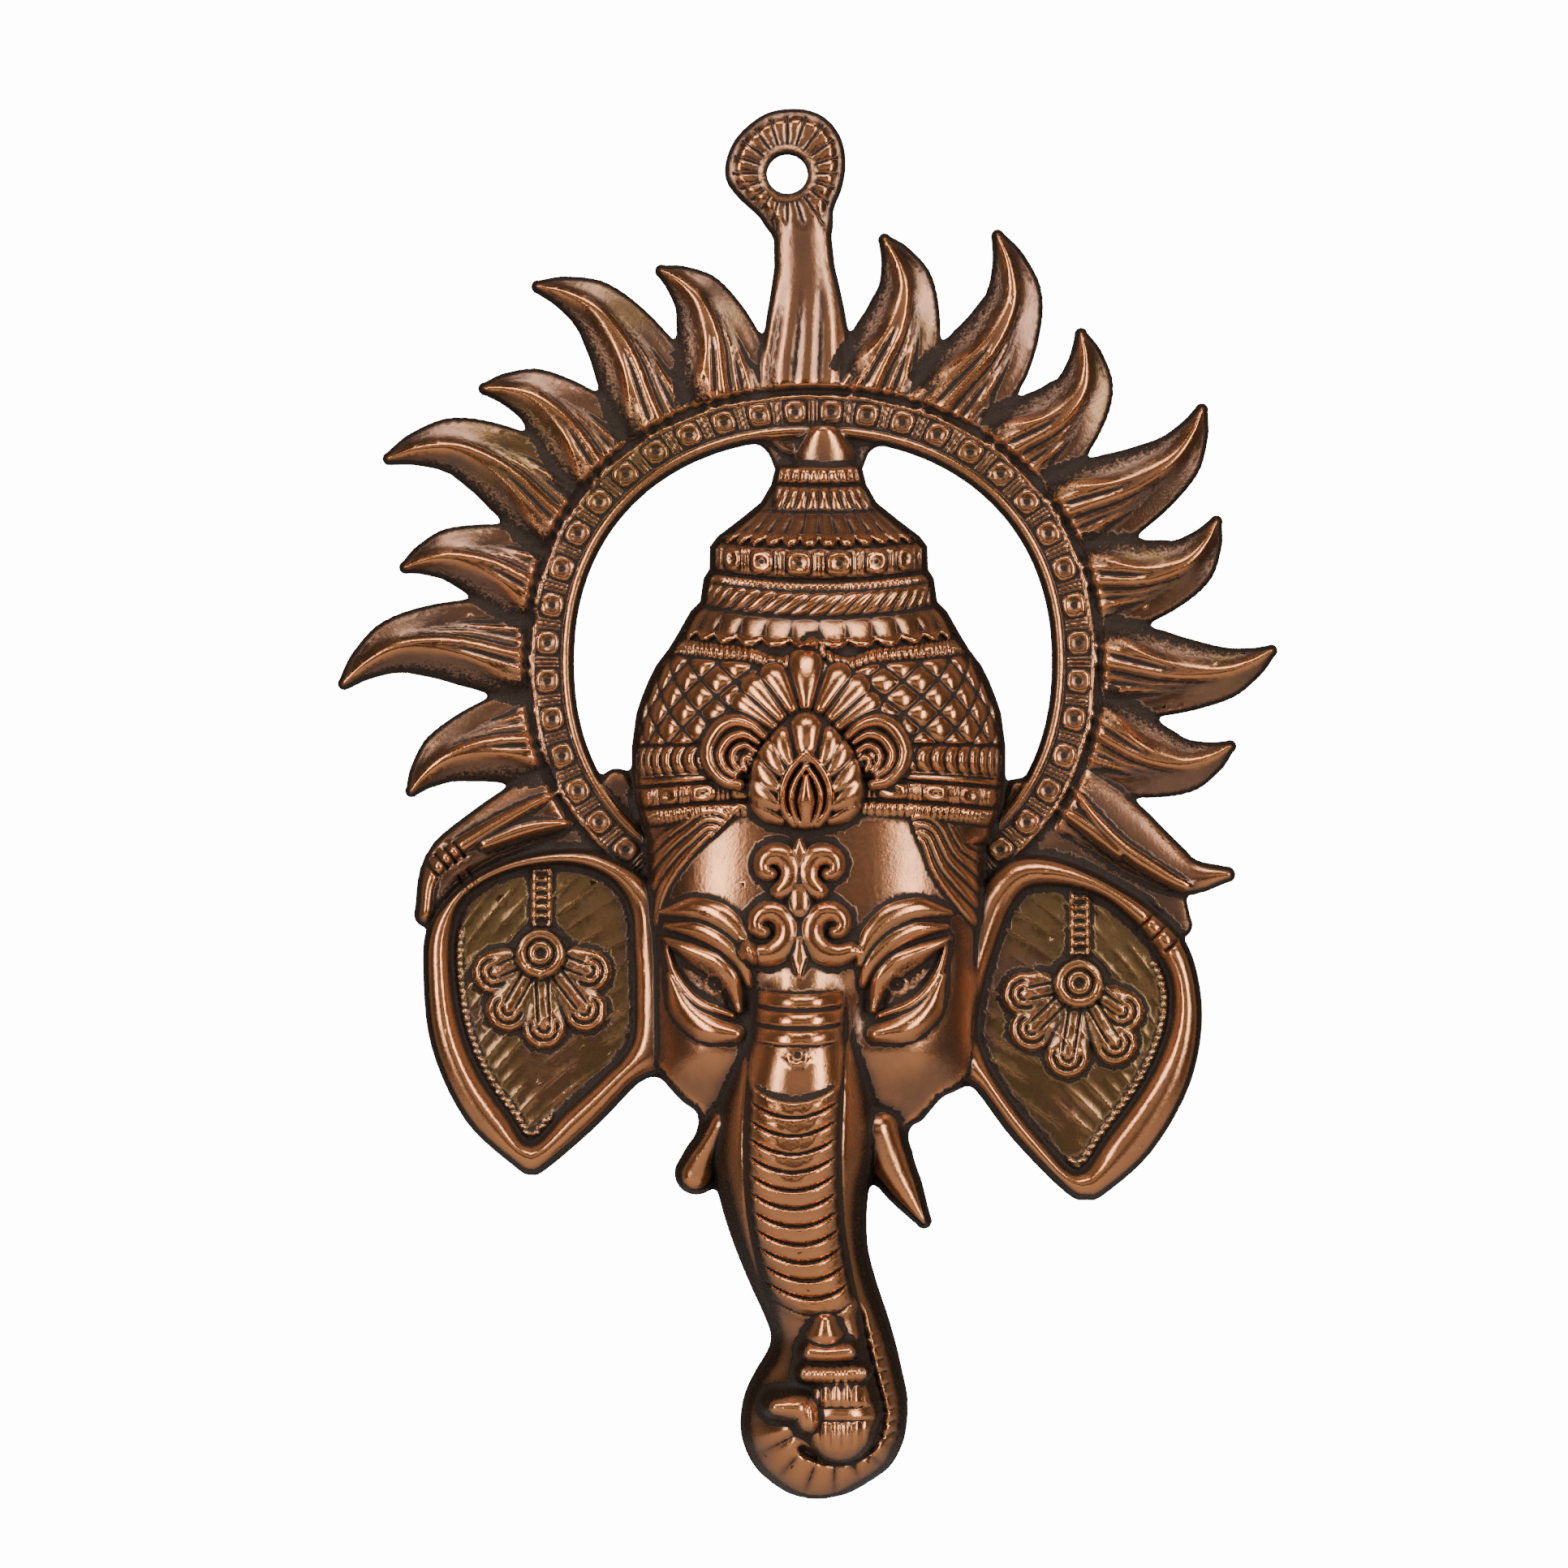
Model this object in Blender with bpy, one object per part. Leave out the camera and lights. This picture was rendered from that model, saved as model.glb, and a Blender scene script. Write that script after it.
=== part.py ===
"""Ganesha wall hanging: one hollow-backed metal casting with an antique copper finish.

The front is a carved relief: an elephant head under a tall crown, in front of a
ring of flames, with a loop on top that hangs on a nail.

Frame: metres, +Z up. The wall is the plane Y = 0 and the relief faces -Y. The
origin is the middle of the hanging hole, on the wall plane.
"""
import math

import bpy
import numpy as np

# Driving dimensions, in metres
HEIGHT = 0.2565
RELIEF = 0.028
EDGE = 0.0022
WALL = 0.0035
LEAST_WALL = 0.0021
NAIL_HOLE = 0.0075

# The hollow starts where it would be deeper than this, so that it has a clear brink
HOLLOW_BRINK = 0.001

# Spacing of the grid that the relief is worked out on, and how far it is thinned after
GRID_STEP = 0.0008
TRIANGLES = 9700
FLAT_BACK = 0.0004

# The figure is drawn in units of its own height, 256.5 of them from the loop's
# top to the trunk's bottom, from the middle of the hanging hole. Carving heights
# are counted from the casting's edge, 25.8 of them to the front of the trunk.
UNIT = HEIGHT / 256.5
RELIEF_UNIT = (RELIEF - EDGE) / 25.8
DRAWN_X = (-85.0, 92.0)
DRAWN_Z = (-247.0, 15.0)

NAME = "ganesha_wall_hanging"
COPPER = (0.30, 0.135, 0.075, 1.0)


# Curves and blends that the carving is drawn with

FAR = 60.0


def ease(t):
    """0 below 0, 1 above 1, and a smooth rise between."""
    t = np.clip(t, 0.0, 1.0)
    return t * t * (3.0 - 2.0 * t)


def soft_min(a, b, blend):
    """The smaller of two values, rounded over where they cross."""
    share = np.clip(0.5 + 0.5 * (b - a) / blend, 0.0, 1.0)
    return b + (a - b) * share - blend * share * (1.0 - share)


def soft_max(a, b, blend):
    """The larger of two values, rounded over where they cross."""
    return -soft_min(-a, -b, blend)


def dome(t):
    """A half round: 1 in the middle, 0 at t = -1 and t = 1."""
    return np.sqrt(np.clip(1.0 - t * t, 0.0, 1.0))


def ridge(t):
    """A soft ridge: 1 in the middle, 0 beyond t = -1 and t = 1."""
    return np.clip(1.0 - t * t, 0.0, 1.0) ** 2


def through(points, closed=False, steps=5):
    """A smooth curve through a few points, as an array of many."""
    p = np.array(points, float)
    if closed:
        p = np.vstack([p[-1:], p, p[:2]])
    else:
        p = np.vstack([2 * p[0] - p[1], p, 2 * p[-1] - p[-2]])
    t = (np.arange(steps) / steps)[:, None]
    spans = []
    for a, b, c, d in zip(p[:-3], p[1:-2], p[2:-1], p[3:]):
        spans.append(b + 0.5 * t * (c - a + t * (2 * a - 5 * b + 4 * c - d + t * (3 * b - 3 * c + d - a))))
    if not closed:
        spans.append(p[-2:-1])
    return np.vstack(spans)


def read_off(table, level):
    """Values that pass smoothly through the rows of a table, at the given levels."""
    curve = through(sorted(table))
    return [np.interp(level, curve[:, 0], column) for column in curve[:, 1:].T]


def near(x, z, curve, margin):
    """Which points lie within a margin of a curve's bounding box."""
    low, high = curve.min(axis=0) - margin, curve.max(axis=0) + margin
    return np.flatnonzero((x > low[0]) & (x < high[0]) & (z > low[1]) & (z < high[1]))


def follow(x, z, curve):
    """How far along a curve each point lies, as a share, and how far to its left."""
    gap = np.full(x.shape, np.inf)
    along = np.zeros(x.shape)
    side = np.zeros(x.shape)
    start = 0.0
    for (ax, az), (bx, bz) in zip(curve[:-1], curve[1:]):
        dx, dz = bx - ax, bz - az
        length = math.hypot(dx, dz)
        t = np.clip(((x - ax) * dx + (z - az) * dz) / length ** 2, 0.0, 1.0)
        reach = np.hypot(x - ax - t * dx, z - az - t * dz)
        nearer = reach < gap
        gap = np.where(nearer, reach, gap)
        along = np.where(nearer, start + t * length, along)
        side = np.where(nearer, np.copysign(reach, dx * (z - az) - dz * (x - ax)), side)
        start += length
    return along / start, side


def beside(x, z, points, margin):
    """Which points lie near a smooth line, how far along it, and how far to its left."""
    curve = through(points)
    here = near(x, z, curve, margin)
    return here, *follow(x[here], z[here], curve)


def outline_distance(x, z, outline, margin=8.0):
    """Distance to a closed outline: negative inside it, positive outside."""
    result = np.full(x.shape, FAR)
    here = near(x, z, outline, margin)
    px, pz = x[here], z[here]
    inside = np.zeros(px.shape, bool)
    for (ax, az), (bx, bz) in zip(outline, np.roll(outline, -1, axis=0)):
        if az != bz:
            inside ^= ((az > pz) != (bz > pz)) & (px < (bx - ax) * (pz - az) / (bz - az) + ax)
    gap = np.abs(follow(px, pz, np.vstack([outline, outline[:1]]))[1])
    result[here] = np.where(inside, -gap, gap)
    return result


def spread(widths, share):
    """A width that passes through the given ones at even steps along a stroke."""
    return np.interp(share, np.linspace(0.0, 1.0, len(widths)), widths)


def stroke(x, z, layer, points, widths, rise, power=0.8):
    """Raises a rounded stroke into a layer of carving, along a smooth line."""
    here, share, side = beside(x, z, points, max(widths))
    t = side / spread(widths, share)
    layer[here] = np.maximum(layer[here], rise * np.clip(1.0 - t * t, 0.0, 1.0) ** power)


def groove(x, z, relief, points, half, depth):
    """Cuts a soft groove into the relief, along a smooth line."""
    here, share, side = beside(x, z, points, half)
    ends = ease(12.0 * share) * ease(12.0 * (1.0 - share))
    relief[here] -= depth * ridge(side / half) * ends


# Loop, stem, ring and flames

LOOP_OUTLINE = (
    (2.2, 12.1), (6.8, 10.6), (9.8, 7.0), (10.8, 2.4), (10.2, -2.2), (8.6, -6.4), (7.8, -11.0),
    (2.5, -14.0), (-2.8, -11.0), (-5.4, -7.6), (-8.9, -4.4), (-11.3, -1.0), (-11.2, 3.0), (-8.9, 7.4),
    (-3.8, 11.3),
)
STEM = ((2.6, -8.0), (3.2, -18.0), (3.5, -28.0), (3.4, -44.0))
STEM_WIDTHS = (5.2, 5.6, 7.3, 8.6, 8.6)

OPENING_MIDDLE = (4.75, -90.0)
OPENING_HALF = (44.1, 41.2)
OPENING_POWER = 2.2
BAND_WIDTH = 7.6
ROOT_WIDTH = 12.0

FLAME_MIDDLE = (5.7, -89.4)
FLAME_FOOT = 48.0
# Angle of the foot, angle of the tip and reach of each flame, clockwise from the top
FLAMES = (
    (13.2, 9.0, 79.5), (28.5, 23.0, 86.0), (44.6, 39.0, 78.3), (60.8, 57.0, 85.6),
    (75.6, 71.0, 78.9), (92.0, 89.0, 84.8), (106.2, 102.0, 78.9),
    (-18.3, -22.0, 78.4), (-32.4, -37.0, 87.2), (-47.2, -51.0, 80.4), (-59.6, -65.0, 88.6),
    (-74.3, -77.5, 79.2), (-88.2, -93.0, 88.8), (-104.8, -108.0, 80.1),
)
# Share of the way to the tip, sideways swing as a share of the lean, half width
FLAME_SHAPE = (
    (0.0, -0.35, 9.0), (0.22, -0.05, 8.8), (0.42, 0.16, 8.0), (0.6, 0.16, 6.4),
    (0.76, -0.02, 4.8), (0.9, -0.5, 2.8), (1.0, -1.0, 1.2),
)
EAR_FLAMES = (
    ((-33.0, -110.0), (-44.0, -115.8), (-55.0, -122.0), (-63.0, -128.0), (-66.4, -136.5)),
    ((47.0, -112.0), (58.0, -118.8), (66.0, -124.8), (73.5, -129.4), (81.2, -129.2)),
)
EAR_FLAME_WIDTHS = ((7.0, 6.6, 5.8, 4.9, 2.5), (7.0, 6.6, 6.0, 4.4, 1.5))
EAR_FLAME_RIDGES = (
    ((-41.9, -113.8), (-49.1, -117.4), (-56.3, -121.5), (-62.8, -125.9), (-66.0, -130.6), (-66.6, -136.4)),
    ((-39.0, -119.6), (-47.7, -120.9), (-55.5, -123.6)),
    ((52.6, -113.2), (57.1, -119.4), (62.1, -124.5), (69.0, -129.1), (73.5, -131.6)),
    ((49.0, -116.4), (55.2, -120.4), (61.0, -125.2)),
)
# Plain metal that joins the ears, the ring and the crown: points and half widths
WEBS = (
    (((50.0, -124.5), (60.0, -128.0), (69.0, -132.5), (72.4, -138.5)), (2.5, 4.5, 4.0, 2.4)),
    (((-50.0, -122.0), (-58.0, -126.5), (-64.5, -133.0)), (2.5, 3.0, 2.0)),
    (((-36.0, -121.5), (-43.0, -122.8), (-50.0, -125.5)), (2.2, 2.4, 2.4)),
    (((-31.5, -112.5), (-29.5, -118.0)), (2.9, 3.5)),
    (((42.5, -113.5), (42.0, -118.0)), (2.0, 3.0)),
)


def flame_curve(foot, tip, reach):
    """Middle line of one flame: out from the ring, then hooked over at its tip."""
    points = []
    for share, swing, _ in FLAME_SHAPE:
        angle = math.radians(foot + swing * (foot - tip))
        radius = FLAME_FOOT + share * (reach - 1.2 - FLAME_FOOT)
        points.append((FLAME_MIDDLE[0] + radius * math.sin(angle),
                       FLAME_MIDDLE[1] + radius * math.cos(angle)))
    return through(points)


def flame_relief(share, across):
    """Sharp crest of a flame, with a hollow side and a round one, counted from its edge."""
    crest = 0.40 - 0.36 * ease(1.15 * share)
    rising = np.clip((1.0 - across) / (1.0 - crest), 0.0, 1.0)
    falling = np.clip((1.0 + across) / (1.0 + crest), 0.0, 1.0)
    tall = 3.8 - 1.0 * ease((share - 0.6) / 0.4)
    return tall * np.where(across > crest, rising ** 1.15, np.sin(0.5 * math.pi * falling) ** 0.85)


def halo(x, z):
    """Outline distance and relief of the loop, stem, ring and flames."""
    dx, dz = x - OPENING_MIDDLE[0], z - OPENING_MIDDLE[1]
    rim = (np.abs(dx / OPENING_HALF[0]) ** OPENING_POWER
           + np.abs(dz / OPENING_HALF[1]) ** OPENING_POWER) ** (1.0 / OPENING_POWER) + 1e-9
    from_gap = np.hypot(dx, dz) * (1.0 - 1.0 / rim)
    edge = np.abs(from_gap - ROOT_WIDTH / 2) - ROOT_WIDTH / 2
    relief = 0.7 + 0.0 * x
    flames(x, z, edge, relief)
    ear_flames(x, z, edge, relief)
    edge = np.maximum(edge, -from_gap)
    for points, widths in WEBS:
        here, share, side = beside(x, z, points, 8.0)
        edge[here] = soft_min(edge[here], np.abs(side) - spread(widths, share), 1.6)
    share, side = follow(x, z, through(STEM))
    half = spread(STEM_WIDTHS, share)
    edge = soft_min(edge, np.abs(side) - half, 1.6)
    relief = np.maximum(relief, 3.4 * dome(side / half))

    # Ring: a groove at the flames' feet, a flat band, and a round inner lip
    relief = relief - 2.6 * ridge((from_gap - BAND_WIDTH - 1.2) / 1.9)
    band = np.maximum(2.2, 1.3 + 1.6 * dome((from_gap - 1.3) / 1.3))
    on_band = ease((BAND_WIDTH + 0.6 - from_gap) / 0.7)
    relief = np.maximum(relief * (1.0 - on_band) + band * on_band, 0.4)
    edge, relief = loop(x, z, edge, relief)
    return edge, relief * ease(0.25 - edge / 1.5)


def flames(x, z, edge, relief):
    """Adds the fourteen flames that stand on the ring."""
    stations, _, halves = zip(*FLAME_SHAPE)
    for flame in FLAMES:
        curve = flame_curve(*flame)
        here = near(x, z, curve, 12.0)
        share, side = follow(x[here], z[here], curve)
        half = np.interp(share, stations, halves)
        edge[here] = soft_min(edge[here], np.abs(side) - half, 1.8)
        carved = flame_relief(share, side / half)
        relief[here] = np.maximum(relief[here], carved * (np.abs(side) < half))


def ear_flames(x, z, edge, relief):
    """Adds the long flame that lies over each ear, with its two ridges."""
    for points, widths in zip(EAR_FLAMES, EAR_FLAME_WIDTHS):
        here, share, side = beside(x, z, points, 12.0)
        half = spread(widths, share)
        edge[here] = soft_min(edge[here], np.abs(side) - half, 1.6)
        relief[here] = np.maximum(relief[here], 1.8 * dome(side / half))
    ridges = 0.0 * x
    for points in EAR_FLAME_RIDGES:
        stroke(x, z, ridges, points, (0.5, 1.3, 1.5, 1.3), 1.7)
    relief += ridges


def loop(x, z, edge, relief):
    """Adds the hanging loop: a disc with a raised lip round the nail hole."""
    from_edge = outline_distance(x, z, through(LOOP_OUTLINE, closed=True))
    disc = 2.4 * ease(-from_edge / 3.0) + 0.3
    disc = np.maximum(disc, 1.2 + 1.9 * dome((np.hypot(x, z) - 4.4) / 1.3))
    on_loop = ease(-from_edge / 0.8) * ease((z + 11.0) / 4.0)
    return soft_min(edge, from_edge, 1.0), relief * (1.0 - on_loop) + disc * on_loop


# Crown

CROWN_MIDDLE = 5.8
# Level and half width of the crown's outline, from the ring down to the headband
CROWN_PROFILE = (
    (-46.0, 12.5), (-48.8, 10.9), (-51.5, 9.2), (-54.3, 8.1), (-57.2, 8.8), (-60.5, 10.7), (-63.5, 14.4),
    (-66.7, 18.6), (-68.6, 20.1), (-72.8, 20.2), (-74.6, 21.3), (-78.8, 21.9), (-80.6, 23.7),
    (-84.5, 25.9), (-87.5, 27.7), (-90.5, 30.0), (-93.5, 31.5), (-96.5, 32.7), (-99.5, 33.7),
    (-105.5, 34.5), (-110.0, 34.5), (-116.0, 34.0), (-121.0, 32.5), (-124.0, 31.5),
)
FINIAL = ((6.8, -54.4), (6.8, -51.4), (6.7, -48.4), (6.5, -45.4))
FINIAL_WIDTHS = (5.3, 5.0, 3.2, 0.5)
# How far the bands bow down in the middle of the crown, at each level
CROWN_SAG = (
    (-121.0, -2.7), (-110.0, -1.5), (-104.0, 0.0), (-88.0, 2.5), (-78.0, 2.2), (-70.0, 1.4), (-55.0, 0.3),
)
# Level of each band's middle, half its height and how far it stands out
CROWN_BANDS = (
    (-55.5, 1.4, 1.1), (-59.5, 2.1, 1.4), (-70.6, 2.6, 1.9), (-74.3, 0.8, 0.7), (-77.2, 2.2, 2.0),
    (-108.6, 2.5, 2.0), (-112.2, 0.9, 0.9), (-115.4, 1.9, 1.4), (-119.0, 1.5, 1.6),
)
# Top and bottom level of each flared skirt, and how far it stands out
SKIRTS = ((-61.4, -67.4, 1.5), (-79.6, -84.9, 1.9))
PALMETTE_MIDDLE = 3.4
# Leaves of the palmette on its right side, mirrored to the left: points, half widths and rise
FAN = (
    (((0.0, -98.6), (0.0, -94.4), (0.0, -90.6)), (0.8, 1.7, 3.0), 2.2),
    (((2.3, -99.2), (3.5, -95.2), (5.0, -92.0)), (0.9, 1.4, 1.7), 2.1),
    (((4.1, -100.8), (5.9, -97.3), (7.6, -94.0)), (0.9, 1.4, 1.6), 2.0),
    (((5.9, -102.0), (7.8, -99.5), (9.4, -97.0)), (0.8, 1.3, 1.4), 1.9),
)
VOLUTES = (
    (((7.6, -103.8), (9.9, -101.8), (13.0, -100.9), (16.0, -102.4), (18.0, -106.2), (17.2, -109.6),
      (14.8, -112.0), (12.2, -112.6)), (0.9, 1.4, 1.7, 1.6, 1.4, 1.1), 2.6),
    (((9.0, -106.0), (11.6, -105.0), (13.2, -107.2), (12.2, -109.8)), (0.8, 1.4, 1.4, 1.0), 2.3),
)
CARTOUCHE_OUTLINE = (
    (0.0, -98.8), (3.4, -100.1), (5.4, -102.4), (8.0, -105.2), (9.8, -108.8), (10.6, -112.8),
    (10.2, -116.8), (7.4, -119.9), (0.0, -121.0),
)
CARTOUCHE_RISE = 2.4
ALMOND = ((0.0, -106.8), (2.9, -109.9), (4.4, -113.6), (4.0, -117.2), (2.2, -120.2))
ALMOND_WIDTHS = (0.8, 1.0, 1.0, 0.8)


def crown_half_width(z):
    """Half width of the crown at each level."""
    return read_off(CROWN_PROFILE, z)[0]


def crown_body(x, z):
    """The crown's broad form, and the level that its bands follow."""
    across = np.clip((x - CROWN_MIDDLE) / crown_half_width(z), -1.0, 1.0)
    level = z + read_off(CROWN_SAG, z)[0] * (1.0 - across * across)
    half = crown_half_width(level)
    across = np.clip((x - CROWN_MIDDLE) / half, -1.0, 1.0)
    return (1.0 + 0.55 * half) * dome(across) ** 0.85, level


def crown(x, z):
    """Outline distance and relief of the crown: stacked bands and a palmette."""
    side = [(CROWN_MIDDLE + half, level) for level, half in CROWN_PROFILE]
    other = [(CROWN_MIDDLE - half, level) for level, half in reversed(CROWN_PROFILE)]
    edge = outline_distance(x, z, np.array(side + other))
    body, level = crown_body(x, z)
    relief = body
    for middle, tall, stand in CROWN_BANDS:
        relief = relief + stand * dome((level - middle) / tall)
    for top, bottom, stand in SKIRTS:
        t = (top - level) / (top - bottom)
        relief = relief + stand * np.where((t > 0.0) & (t < 1.0), 0.25 + 0.75 * t, 0.0)

    # Pointed finial in front of the ring
    relief = relief * ease((-53.4 - z) / 0.8)
    finial = 0.0 * x
    stroke(x, z, finial, FINIAL, FINIAL_WIDTHS, 7.0, 0.6)
    relief = np.maximum(relief, finial * (z > FINIAL[0][1]))

    return edge, palmette(x, z, relief, body)


def palmette(x, z, relief, base):
    """Fan of petals over a cartouche with a pointed almond, between two volutes."""
    out = np.abs(x - PALMETTE_MIDDLE)
    fan = 0.0 * x
    for points, widths, rise in FAN + VOLUTES:
        stroke(out, z, fan, points, widths, rise)
    shown = ease(fan / 0.9)
    relief = relief * (1.0 - shown) + (base + 0.2 + 1.1 * fan) * shown
    right = np.array(CARTOUCHE_OUTLINE)
    left = right[::-1] * (-1.0, 1.0)
    inward = -outline_distance(x - PALMETTE_MIDDLE, z, through(np.vstack([right, left[1:-1]]), closed=True))
    almond = 0.0 * x
    stroke(out, z, almond, ALMOND, ALMOND_WIDTHS, 1.8)
    pad = base + 0.3 + CARTOUCHE_RISE * dome(1.0 - np.clip(inward / 6.5, 0.0, 1.0)) + almond
    shown = ease(inward / 0.3)
    return relief * (1.0 - shown) + pad * shown


# Face

FACE_OUTLINE = (
    (-25.5, -117.0), (-26.0, -132.5), (-26.0, -147.5), (-25.0, -161.0), (-23.3, -166.5), (-19.5, -171.0),
    (-16.5, -173.5), (-12.5, -181.0), (2.0, -187.0), (15.5, -182.0), (22.5, -176.0), (25.0, -174.5),
    (28.5, -170.5), (32.5, -168.0), (34.5, -161.0), (35.5, -147.5), (36.5, -132.5), (37.0, -117.0),
)
FACE_MIDDLE = 5.2
FACE_HALF = 31.2
FACE_DEPTH = ((-187.0, 3.0), (-178.0, 7.0), (-168.0, 12.5), (-157.0, 16.5), (-140.0, 18.5), (-116.0, 19.5))
EYE_MIDDLE = 3.4
EYE = (17.6, -149.0)
# Ridges about the right eye, mirrored to the left: points, half widths and rise
EYE_RIDGES = (
    (((26.3, -136.0), (20.6, -135.3), (15.4, -137.0), (11.6, -140.6), (9.7, -145.2)),
     (0.4, 1.3, 1.5, 1.2, 0.5), 1.4),
    (((25.6, -138.3), (19.8, -138.9), (15.2, -141.2), (12.0, -144.6), (10.4, -148.6)),
     (0.4, 1.1, 1.3, 1.1, 0.5), 1.3),
    (((26.0, -140.8), (20.8, -143.0), (16.6, -144.9), (13.6, -148.0), (12.2, -153.4)),
     (0.4, 1.2, 1.5, 1.3, 0.5), 2.2),
    (((25.8, -141.6), (24.0, -147.4), (19.8, -152.2), (13.4, -154.8)), (0.4, 0.8, 0.9, 0.5), 1.7),
    (((25.0, -147.6), (22.4, -153.4), (18.0, -156.8), (12.8, -158.0)), (0.6, 1.9, 2.2, 1.2), 1.8),
)
SCROLL_MIDDLE = 2.2
# Volutes of the forehead ornament: middle, start and end angle, inner and outer radius
SCROLL_VOLUTES = (((6.1, -138.6), -2.2, 4.2, 1.0, 5.4), ((5.0, -128.0), -1.2, 4.4, 0.9, 4.2))
# Strokes on the ornament's middle line: points, half widths and rise
SCROLL_STEM = (
    (((0.0, -127.6), (0.0, -124.8), (0.0, -122.6)), (1.0, 2.0, 0.5), 1.9),
    (((0.0, -135.0), (0.0, -131.8)), (2.4, 2.4), 2.1),
    (((0.0, -147.4), (0.0, -144.4), (0.0, -140.8)), (0.5, 1.9, 1.2), 1.9),
)


def face_body(x, z):
    """The broad form of the forehead and cheeks."""
    across = np.clip((x - FACE_MIDDLE) / FACE_HALF, -1.0, 1.0)
    return read_off(FACE_DEPTH, z)[0] * (1.0 - np.abs(across) ** 2.6) ** 0.55


def face(x, z):
    """Outline distance and relief of the forehead, cheeks and eyes."""
    edge = outline_distance(x, z, through(FACE_OUTLINE, closed=True))
    relief = face_body(x, z)
    out = np.abs(x - EYE_MIDDLE)
    dx, dz = out - EYE[0], z - EYE[1]
    along, over = (dx + dz) * 0.7071, (dz - dx) * 0.7071
    relief = relief - 3.0 * np.exp(-(along / 8.0) ** 2 - (over / 4.6) ** 2)
    relief = relief - 2.2 * np.exp(-((out - 11.0) / 3.2) ** 2 - ((z + 152.5) / 5.0) ** 2)
    relief = relief + 1.9 * dome(np.clip(np.hypot(along / 7.4, over / 3.0), 0.0, 1.0))
    relief = relief + 1.3 * np.exp(-((out - 19.0) / 7.0) ** 2 - ((z + 162.5) / 6.0) ** 2)
    layer = 0.0 * x
    for points, widths, rise in EYE_RIDGES:
        stroke(out, z, layer, points, widths, rise)
    relief = relief + layer
    return edge, scroll(x, z, relief)


def scroll(x, z, relief):
    """A double volute with a bud and a drop on the forehead, mirrored about the middle line."""
    out = np.abs(x - SCROLL_MIDDLE)
    layer = 0.0 * x
    for (cx, cz), start, end, inner, outer in SCROLL_VOLUTES:
        turn = np.linspace(start, end, 16)
        radius = np.linspace(outer, inner, 16)
        spiral = np.column_stack([cx - radius * np.cos(turn), cz + radius * np.sin(turn)])
        stroke(out, z, layer, spiral, (1.5, 2.0, 1.8, 1.5, 1.1), 1.9)
    for points, widths, rise in SCROLL_STEM:
        stroke(out, z, layer, points, widths, rise)
    return relief + layer


# Trunk and tusks

# Level, left edge and right edge of the trunk
TRUNK_SIDES = (
    (-140.0, -5.0, 11.0), (-150.0, -7.3, 13.0), (-158.0, -9.2, 14.4), (-165.0, -11.4, 15.8),
    (-173.0, -13.4, 16.8), (-180.0, -14.0, 16.6), (-186.0, -13.2, 15.3), (-192.0, -11.7, 14.7),
    (-198.5, -9.5, 15.0), (-205.0, -6.8, 16.7), (-210.0, -4.5, 18.4), (-214.0, -3.1, 19.6),
    (-217.0, -3.6, 20.4), (-221.0, -6.0, 21.3), (-225.5, -8.0, 22.2), (-230.5, -8.7, 22.1),
    (-234.5, -8.0, 21.2), (-238.5, -6.0, 18.9), (-241.5, -2.8, 14.8), (-243.5, 0.5, 11.0), (-244.4, 4.0, 7.0),
)
TRUNK_CREST = (
    (-244.4, 8.0), (-241.0, 12.5), (-237.0, 15.5), (-230.0, 18.0), (-221.0, 18.4), (-213.0, 19.2),
    (-205.0, 21.2), (-195.0, 23.2), (-185.0, 24.6), (-175.0, 25.0), (-165.0, 24.2), (-158.0, 22.6),
    (-150.0, 20.2), (-143.0, 17.8), (-138.0, 15.0),
)
# Middle of the trunk's front strip, half its width along the way, and the level it starts at
TRUNK_LINE = (
    (3.0, -140.0), (2.5, -150.0), (1.5, -165.0), (0.9, -180.0), (1.7, -193.0), (4.2, -205.0), (7.2, -213.0),
)
TRUNK_STRIP_WIDTHS = (7.8, 8.4, 8.5, 8.5, 8.4, 8.0, 7.2)
TRUNK_STRIP_START = -148.0
BAR_LEVELS = (-151.2, -154.5, -157.8)
FIRST_RING = -170.0
LAST_RING = -211.0
RING_PITCH = 3.3
INNER_CURL = (
    (12.6, -206.8), (13.8, -212.2), (14.9, -217.6), (15.9, -221.6), (17.0, -225.6), (17.3, -228.6),
    (16.4, -232.2), (13.6, -234.9), (9.0, -236.0), (4.5, -235.0), (0.8, -232.4),
)
# The sweet from its pot up to its lid, then the trunk's tip: points, half widths, height and roundness
SWEET = (
    (((9.6, -224.6), (9.8, -227.4), (9.6, -230.2)), (6.6, 7.4, 6.6), 22.4, 0.16),
    (((3.6, -219.8), (8.6, -219.9), (13.2, -219.6)), (1.7, 1.7), 22.9, 0.12),
    (((4.3, -215.8), (7.6, -216.0), (11.0, -215.7)), (1.9, 1.9), 22.9, 0.12),
    (((6.9, -212.3), (6.9, -210.4)), (3.9, 1.8), 22.8, 0.14),
    (((-2.0, -225.8), (1.6, -225.9), (3.4, -226.6), (3.9, -228.4)), (3.0, 3.6, 3.9, 3.4), 23.9, 0.2),
)
TUSKS = (
    (((-12.0, -175.0), (-15.4, -180.7), (-16.8, -184.3)), (3.4, 3.1, 4.0)),
    (((16.5, -176.0), (18.9, -182.3), (22.1, -188.0), (25.2, -193.1)), (5.0, 4.7, 3.5, 1.5)),
)


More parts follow.
